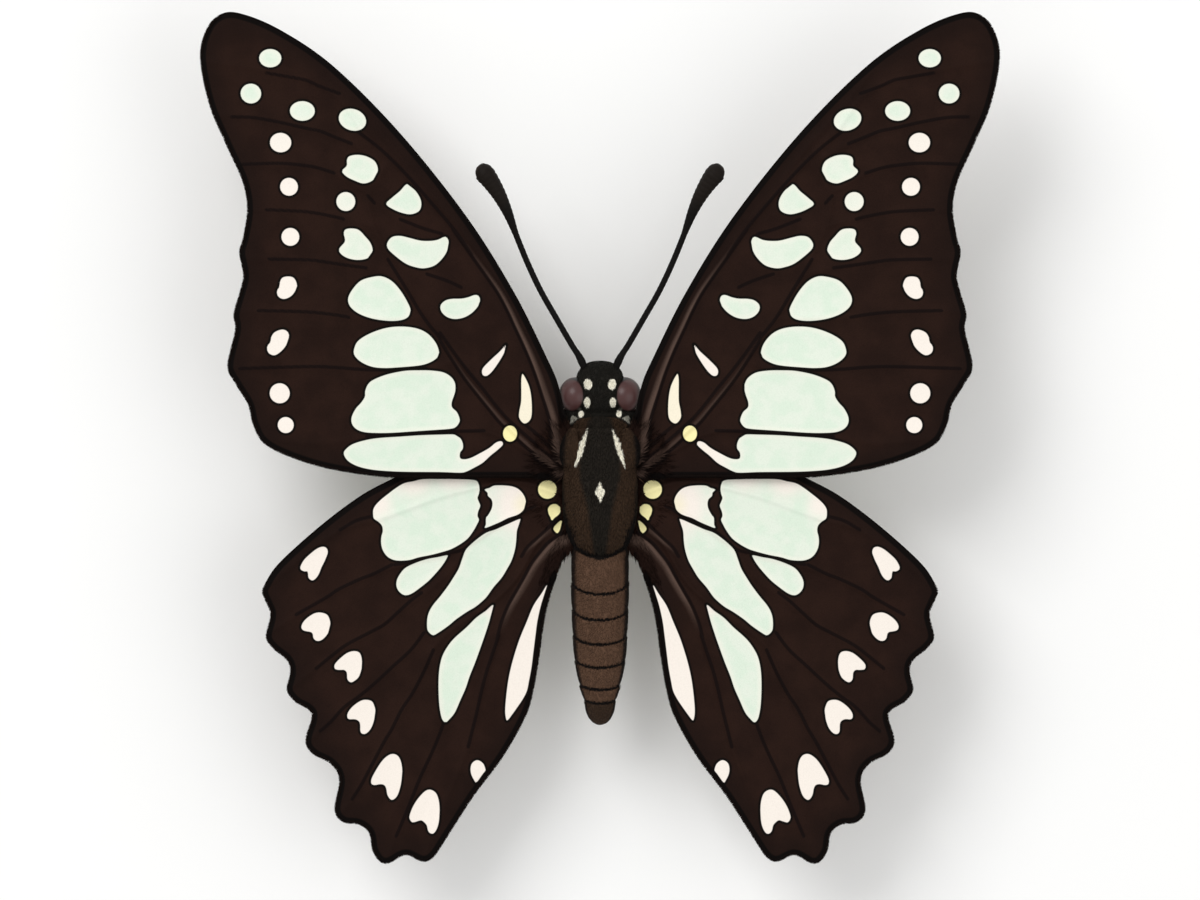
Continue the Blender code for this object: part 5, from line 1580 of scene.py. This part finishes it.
# %% Eyes
EYE_CENTRE = np.array([1.85, 3.2, 8.25])
EYE_HALF = np.array([1.25, 1.38, 1.5])
EYE_FACE = np.array([2.12, 3.22])
EYE_FACE_HALF = np.array([0.98, 1.35])
RIM_BOTTOM, RIM_DROP, RIM_FADE = 0.5, 0.5, 0.4
FACET_SIZE = 0.045
POLE_LEAN = 88


def ball(centre, half, rows, columns):
    """Sections of an ellipsoid with its poles in front and behind."""
    return centre + half * directions(np.radians(np.linspace(POLE_LEAN, -POLE_LEAN, rows))[:, None], columns)


def eye_recipe():
    """Plum brown, with painted shade to a black rim, under fine facets."""
    face = blend(noise(0.7), paint(64, 38, 37), paint(78, 48, 46))
    return {
        "Base Color": blend(step(carried("rim"), 0.78, 0.93), face, paint(9, 6, 5)),
        "Normal": bump(1.0 - cells(FACET_SIZE), 0.012, 0.5),
    }


eye_finish = finish("eye_facets", eye_recipe, Roughness=0.38, Specular_IOR_Level=0.3, Coat_Weight=0.15,
                    Coat_Roughness=0.2)
points, faces = closed_tube(ball(EYE_CENTRE, EYE_HALF, 70, 72))
# How far out each point lies, seen from above, lowered on the underside; the material paints shade where it
# is large.
rim = np.linalg.norm(np.abs(points[:, :2] - EYE_FACE) / EYE_FACE_HALF, axis=1)
rim -= RIM_DROP * rise(EYE_CENTRE[2] + RIM_BOTTOM - points[:, 2], 0, RIM_FADE)
add_pair("eye_{}_facets", points, faces, eye_finish, "eye", ["eye_{}"], {"rim": rim})

# %% [markdown]
# ## Mouthparts
#
# The sucking tube lies rolled like a watch spring between two hairy palps that reach up before the face. It
# is a spiral in a plane, because a helix would wind sideways out of the gap between the palps.

# %% Sucking tube
COIL_CENTRE = (4.1, 4.5)
COIL_OUTER, COIL_INNER = 1.18, 0.3
COIL_TURNS = 2.6
COIL_START = math.radians(80)
COIL_LEAD = [(0.0, 3.4, 6.7), (0.0, 3.6, 6.2), (0.0, 3.95, 5.8)]
COIL_THICK, COIL_TAPER = 0.17, 0.09
COIL_LEAD_STEPS, COIL_ROWS, COIL_SIDES = 6, 240, 12
COIL_RINGS, COIL_RING_DEPTH = 90, 0.06


def sucking_tube():
    """A spiral whose radius falls evenly with its turn, led down to it from the mouth."""
    share = np.linspace(0, 1, COIL_ROWS)
    radius = COIL_OUTER + (COIL_INNER - COIL_OUTER) * share
    turn = COIL_START - math.tau * COIL_TURNS * share
    coil = np.column_stack([
        0 * share, COIL_CENTRE[0] + radius * np.cos(turn), COIL_CENTRE[1] + radius * np.sin(turn),
    ])
    path = np.concatenate([curve([*COIL_LEAD, coil[0]], COIL_LEAD_STEPS)[:-1], coil])
    reach = lengths(path) / lengths(path)[-1]
    radii = COIL_THICK - COIL_TAPER * reach
    radii *= 1 - COIL_RING_DEPTH * np.abs(np.cos(COIL_RINGS * np.pi * reach)) ** 4
    return closed_tube(tube(path, radii, COIL_SIDES, (1, 0, 0)))


tube_finish = finish(
    "horn_tube",
    lambda: {"Base Color": blend(noise(0.5), paint(32, 21, 15), paint(58, 38, 27))},
    Roughness=0.35, Specular_IOR_Level=0.4,
)
add_piece("proboscis_coil", *sucking_tube(), tube_finish, "antenna", ["proboscis"])

# %% Palps
PALP_ROUTE = [(0.5, 3.4, 5.95), (0.5, 4.2, 5.75), (0.5, 4.85, 6.1), (0.5, 5.12, 6.7), (0.46, 5.15, 7.3)]
PALP_AT, PALP_RADII = [0, 0.3, 0.7, 0.95, 1], [0.26, 0.34, 0.32, 0.2, 0.08]
PALP_STEPS, PALP_ROWS, PALP_SIDES, PALP_HAIRS = 8, 40, 16, 900
PALP_PLAIN = {
    "mark": 1, "tone": 0, "side": 1, "joint": 1, "tail": 0, "flank": 0, "belly": 0.5, "zone": HEAD_ZONE,
}


def hair_along(sections, inner, run, count, stray, length, width, lift, sink=HAIR_SINK):
    """Hair on a tube. It lies along run, away from the places inner, each given once or for every section.
    Length is the least and the most. Returns the blades, their spots, normals and places on the map.
    """
    spot, normal, share = scatter(closed_round(sections), count)
    row = (share[:, 0] * (len(sections) - 1)).astype(int)
    inner, run = (np.broadcast_to(given, (len(sections), 3))[row] for given in (inner, run))
    normal = facing_out(normal, spot, inner)
    lie = unit(run + rng.normal(0, stray, (count, 3)))
    hair = blades(spot, normal, lie, rng.uniform(*length, count), width, lift, sink)
    return hair, spot, normal, blade_patches(share)


def add_furred(names, shell, nodes, slot, hair, patches, shell_values, hair_values):
    """A bare shell in the body's finish and the coat on it, each with its values."""
    count = len(hair[0]) // BLADE_POINTS
    blank = np.full(len(shell[0]), 0.5)
    add_piece(names[0], *shell, body_finish, slot, nodes, {**shell_values, "vary": blank, "point": blank})
    values = {**hair_values, "vary": per_blade(rng.random(count)), "point": tips(count)}
    add_piece(names[1], *hair, body_finish, slot, (), values, patches)


def plain(points):
    """The values of a palp: the head's colour, half way to the belly's, and no marks."""
    return {key: np.full(len(points), number) for key, number in PALP_PLAIN.items()}


for side, word in SIDES:
    path = spread(curve(PALP_ROUTE, PALP_STEPS), PALP_ROWS) * [side, 1, 1]
    radii = np.interp(np.linspace(0, 1, len(path)), PALP_AT, PALP_RADII)
    sections = tube(path, radii, PALP_SIDES, (1, 0, 0))
    run = np.gradient(path, axis=0)
    hair, _, _, patches = hair_along(sections, path, run, PALP_HAIRS, 0.02, (0.35, 0.55), 0.06, 0.45, 0.03)
    shell = closed_tube(sections)
    names = [f"palp_{word}_skin", f"palp_{word}_coat"]
    add_furred(names, shell, [f"palp_{word}"], "head_fur", hair, patches, plain(shell[0]), plain(hair[0]))

# %% [markdown]
# ## Scale plates over the wing roots
#
# A tegula is a small shell hinged over the root of the forewing, furred like the thorax. Sculpting one by
# hand would not match its twin, so it is a flat ball, tapered, bent and tilted by formula.

# %% Scale plates over the wing roots
TEGULA_CENTRE = np.array([2.28, -0.75, 10.35])
TEGULA_HALF = np.array([0.8, 1.5, 0.36])
TEGULA_TAPER, TEGULA_BEND, TEGULA_TILT = 0.32, 0.4, math.radians(38)
TEGULA_HAIRS = 1500


def tegula_sections(side):
    """A flat ellipsoid, narrower in front and bent inwards there, turned about the body's length."""
    shape = ball(np.zeros(3), TEGULA_HALF, 30, 32)
    along = shape[..., 1] / TEGULA_HALF[1]
    across = shape[..., 0] * (1 - TEGULA_TAPER * along) - TEGULA_BEND * np.clip(along, 0, 1) ** 2
    x = across * math.cos(TEGULA_TILT) + shape[..., 2] * math.sin(TEGULA_TILT)
    z = -across * math.sin(TEGULA_TILT) + shape[..., 2] * math.cos(TEGULA_TILT)
    return (np.stack([x, shape[..., 1], z], axis=2) + TEGULA_CENTRE) * [side, 1, 1]


for side, word in SIDES:
    sections = tegula_sections(side)
    inner, run = TEGULA_CENTRE * [side, 1, 1], (0.25 * side, -1.0, -0.1)
    hair, spot, _, patches = hair_along(sections, inner, run, TEGULA_HAIRS, 0.15, (0.266, 0.418), 0.09, 0.2)
    shell = closed_tube(sections)
    names = [f"tegula_{word}_plate", f"tegula_{word}_coat"]
    bare_values = body_values(shell[0])
    hair_values = {key: per_blade(numbers) for key, numbers in body_values(spot).items()}
    add_furred(names, shell, [f"tegula_{word}"], "thorax_fur", hair, patches, bare_values, hair_values)
print(f"each plate carries {TEGULA_HAIRS} hairs")

# %% [markdown]
# ## Legs
#
# Each leg is one tube from the hip to the last toe joint: a hairy thigh, a slim shin with spurs, and a foot
# of five joints that lies on the floor and ends in two claws. Separate limbs would show seams that a real
# leg's skin doesn't have, so the joints are dips in one tube's radius.

# %% The path of a leg
# Hip, knee, heel and end of the foot on the right side
LEGS = {
    "front": [(1.0, -0.3, 7.0), (4.7, 2.2, 7.3), (6.2, 4.4, 0.0), (7.8, 9.2, 0.0)],
    "middle": [(1.3, -3.2, 6.6), (6.2, -4.3, 7.0), (8.9, -5.4, 0.0), (13.2, -8.2, 0.0)],
    "hind": [(1.3, -6.0, 6.8), (5.4, -10.4, 6.8), (7.4, -14.6, 0.0), (9.3, -19.6, 0.0)],
}
FOOT_RADIUS = 0.16
JOINT_ROUND, PATH_STEP = 0.32, 0.07


def rounded(corners, radius, gap):
    """A path through corners, each cut back by a radius and bridged by a quadratic arc, with even points."""
    line = [corners[0]]
    for before, corner, after in zip(corners, corners[1:], corners[2:]):
        start = corner + radius * (before - corner) / np.linalg.norm(before - corner)
        end = corner + radius * (after - corner) / np.linalg.norm(after - corner)
        for t in np.linspace(0, 1, 9):
            line.append((1 - t) ** 2 * start + 2 * t * (1 - t) * corner + t**2 * end)
    line = np.array([*line, corners[-1]])
    return spread(line, max(8, int(lengths(line)[-1] / gap)))


def leg_path(place, side):
    """Corners and path of a leg, the distances along the path, and where on it the knee and heel are."""
    corners = np.array(LEGS[place]) * [side, 1, 1]
    corners[2:, 2] += FOOT_RADIUS
    path = rounded(corners, JOINT_ROUND, PATH_STEP)
    reach = lengths(path)
    spans = np.linalg.norm(np.diff(corners, axis=0), axis=1)
    cut = (reach[-1] - spans.sum()) / 2
    return corners, path, reach, spans[0] + cut, spans[0] + spans[1] + 1.5 * cut


print("the legs are", *[f"{leg_path(place, 1)[2][-1]:.1f} ({place})" for place in LEGS], "mm long")

# %% Joints, spikes and claws
THIGH_WIDE = [0.5, 0.5, 0.44, 0.33]
SHIN_WIDE = [0.19, 0.28, 0.25, 0.23]
FOOT_WIDE = [0.15, FOOT_RADIUS, 0.13, 0.09]
TOE_JOINTS = [0.42, 0.6, 0.74, 0.86]
TOE_DIP, TOE_DIP_REACH = 0.3, 0.07
# Angles round the leg in degrees, length, width and lift of the spikes
TOE_SPIKES = ([20, 90, 160], 0.22, 0.045, 0.5)
SHIN_SPIKES = ([0, 60, 120, 180, 240, 300], 0.34, 0.05, 0.45)
SPURS = ([60, 120, 240, 300], 0.8, 0.1, 0.35)
SPIKE_ROOT = 0.1
CLAW_KNOTS, CLAW_RADII = [(0, 0, 0), (0.2, 0.1, 0.06), (0.4, 0.2, 0), (0.48, 0.24, -0.1)], (0.06, 0.012)
CLAW_STEPS, CLAW_SIDES = 5, 8


def leg_radii(reach, knee, heel):
    """Radius along a leg: thigh, shin and foot, with a dip at the knee, the heel and between the toes."""
    end = reach[-1]
    thigh = [0, 0.2 * knee, 0.55 * knee, 0.95 * knee]
    shin = [knee, knee + 0.4, 0.6 * heel + 0.4 * knee, heel - 0.2]
    foot = [heel, heel + 0.4, end - 0.3, end]
    radii = np.interp(reach, thigh + shin + foot, THIGH_WIDE + SHIN_WIDE + FOOT_WIDE)
    for share in TOE_JOINTS:
        radii *= 1 - TOE_DIP * np.exp(-(((reach - heel - share * (end - heel)) / TOE_DIP_REACH) ** 2))
    return radii


def spikes(path, across, rows, around, length, width, lift):
    """Short stiff spikes in rings along a path, leaning to its end. Around gives their angles in degrees."""
    run = unit(np.gradient(path, axis=0))
    up = unit(np.cross(run, across))
    wide = unit(np.cross(up, run))
    row = np.repeat(rows, len(around))
    turn = np.tile(np.radians(around), len(rows))[:, None]
    normal = np.cos(turn) * wide[row] + np.sin(turn) * up[row]
    return blades(path[row] + SPIKE_ROOT * normal, normal, run[row], length, width, lift, 0.0)


def claw(toe, run, side_step):
    """A small hook that leaves the last toe joint sideways and bends down to the floor."""
    side = np.cross(run, [0, 0, 1])
    knots = [toe + out * run + aside * side_step * side + [0, 0, up] for out, aside, up in CLAW_KNOTS]
    path = curve(knots, CLAW_STEPS)
    return closed_tube(tube(path, np.linspace(*CLAW_RADII, len(path)), CLAW_SIDES, side))


print(f"a foot has {len(TOE_JOINTS) + 1} joints and two claws")

# %% Legs
LEG_SIDES = 14
TOE_SPIKES_APART, SHIN_SPIKES_APART = 5, 9
THIGH_HAIRS = 1100
THIGH_SHARE = 0.9
SHELL_BELLY = 0.25


def leg_recipe():
    """Brown scales, paler below."""
    grain = cells(0.09)
    colour = blend(noise(0.8), paint(50, 36, 28), paint(74, 55, 43))
    colour = blend(carried("belly") * 0.6, colour, paint(168, 150, 124))
    return {
        "Base Color": tinted(colour, (0.8 + 0.4 * carried("vary")) * (1.05 - 0.25 * grain)),
        "Normal": bump(1.0 - grain, 0.02, 0.5),
    }


leg_finish = finish("leg_scales", leg_recipe, Roughness=0.6, Specular_IOR_Level=0.3)


def leg(place, side, word):
    """A leg with its spikes, spurs and claws, kept above the floor, and the hair on its thigh."""
    corners, path, reach, knee, heel = leg_path(place, side)
    across = unit(np.cross(corners[3] - corners[0], [0.0, 0.0, 1.0]))
    sections = tube(path, leg_radii(reach, knee, heel), LEG_SIDES, across)
    sections[..., 2] = np.maximum(sections[..., 2], 0.0)
    run = unit(corners[3] - corners[2])
    foot_rows = np.flatnonzero((reach > heel + 0.3) & (reach < reach[-1] - 0.2))[::TOE_SPIKES_APART]
    shin_rows = np.flatnonzero((reach > knee + 1.0) & (reach < heel - 0.4))[::SHIN_SPIKES_APART]
    spur_row = np.flatnonzero(reach > heel - 0.6)[:1]
    points, faces = joined([
        closed_tube(sections), claw(path[-1], run, -1), claw(path[-1], run, 1),
        spikes(path, across, foot_rows, *TOE_SPIKES), spikes(path, across, shin_rows, *SHIN_SPIKES),
        spikes(path, across, spur_row, *SPURS),
    ])
    points[:, 2] = np.maximum(points[:, 2], 0.0)
    belly = SHELL_BELLY * (1 - rise(points[:, 2], 0.0, 8.0))
    nodes = [f"{place}_{part}_{word}" for part in ("femur", "tibia", "tarsus")]
    values = {"vary": np.full(len(points), 0.5), "belly": belly}
    add_piece(f"{place}_leg_{word}", points, faces, leg_finish, "leg", nodes, values)
    thigh = int(np.searchsorted(reach, THIGH_SHARE * knee))
    along = run * 0.2 + unit(corners[1] - corners[0])
    hair, _, normal, patches = hair_along(
        sections[:thigh], path[:thigh], along, THIGH_HAIRS, 0.15, (0.3, 0.55), 0.07, 0.25,
    )
    values = {"vary": per_blade(rng.random(THIGH_HAIRS)), "belly": per_blade(rise(-normal[:, 2], -0.2, 0.8))}
    add_piece(f"{place}_leg_{word}_coat", *hair, leg_finish, "leg", (), values, patches)


for place in LEGS:
    for side, word in SIDES:
        leg(place, side, word)

# %% [markdown]
# ## Floor and sizes
#
# The floor is a plain pale sheet that isn't part of the model. A backdrop curve isn't needed, because the
# camera looks straight down.

# %% Floor and sizes
FLOOR_HALF = 2.0

floor_mesh = bpy.data.meshes.new("floor")
floor_corners = [(-1, -1, 0), (1, -1, 0), (1, 1, 0), (-1, 1, 0)]
floor_mesh.from_pydata([[FLOOR_HALF * c for c in corner] for corner in floor_corners], [], [(0, 1, 2, 3)])
floor_mesh.materials.append(finish("pale_floor", lambda: {"Roughness": 0.85 + 0.1 * noise(20.0)},
                                   Base_Color=paint(250, 250, 249), Specular_IOR_Level=0.1))
place_in_scene("floor", floor_mesh)
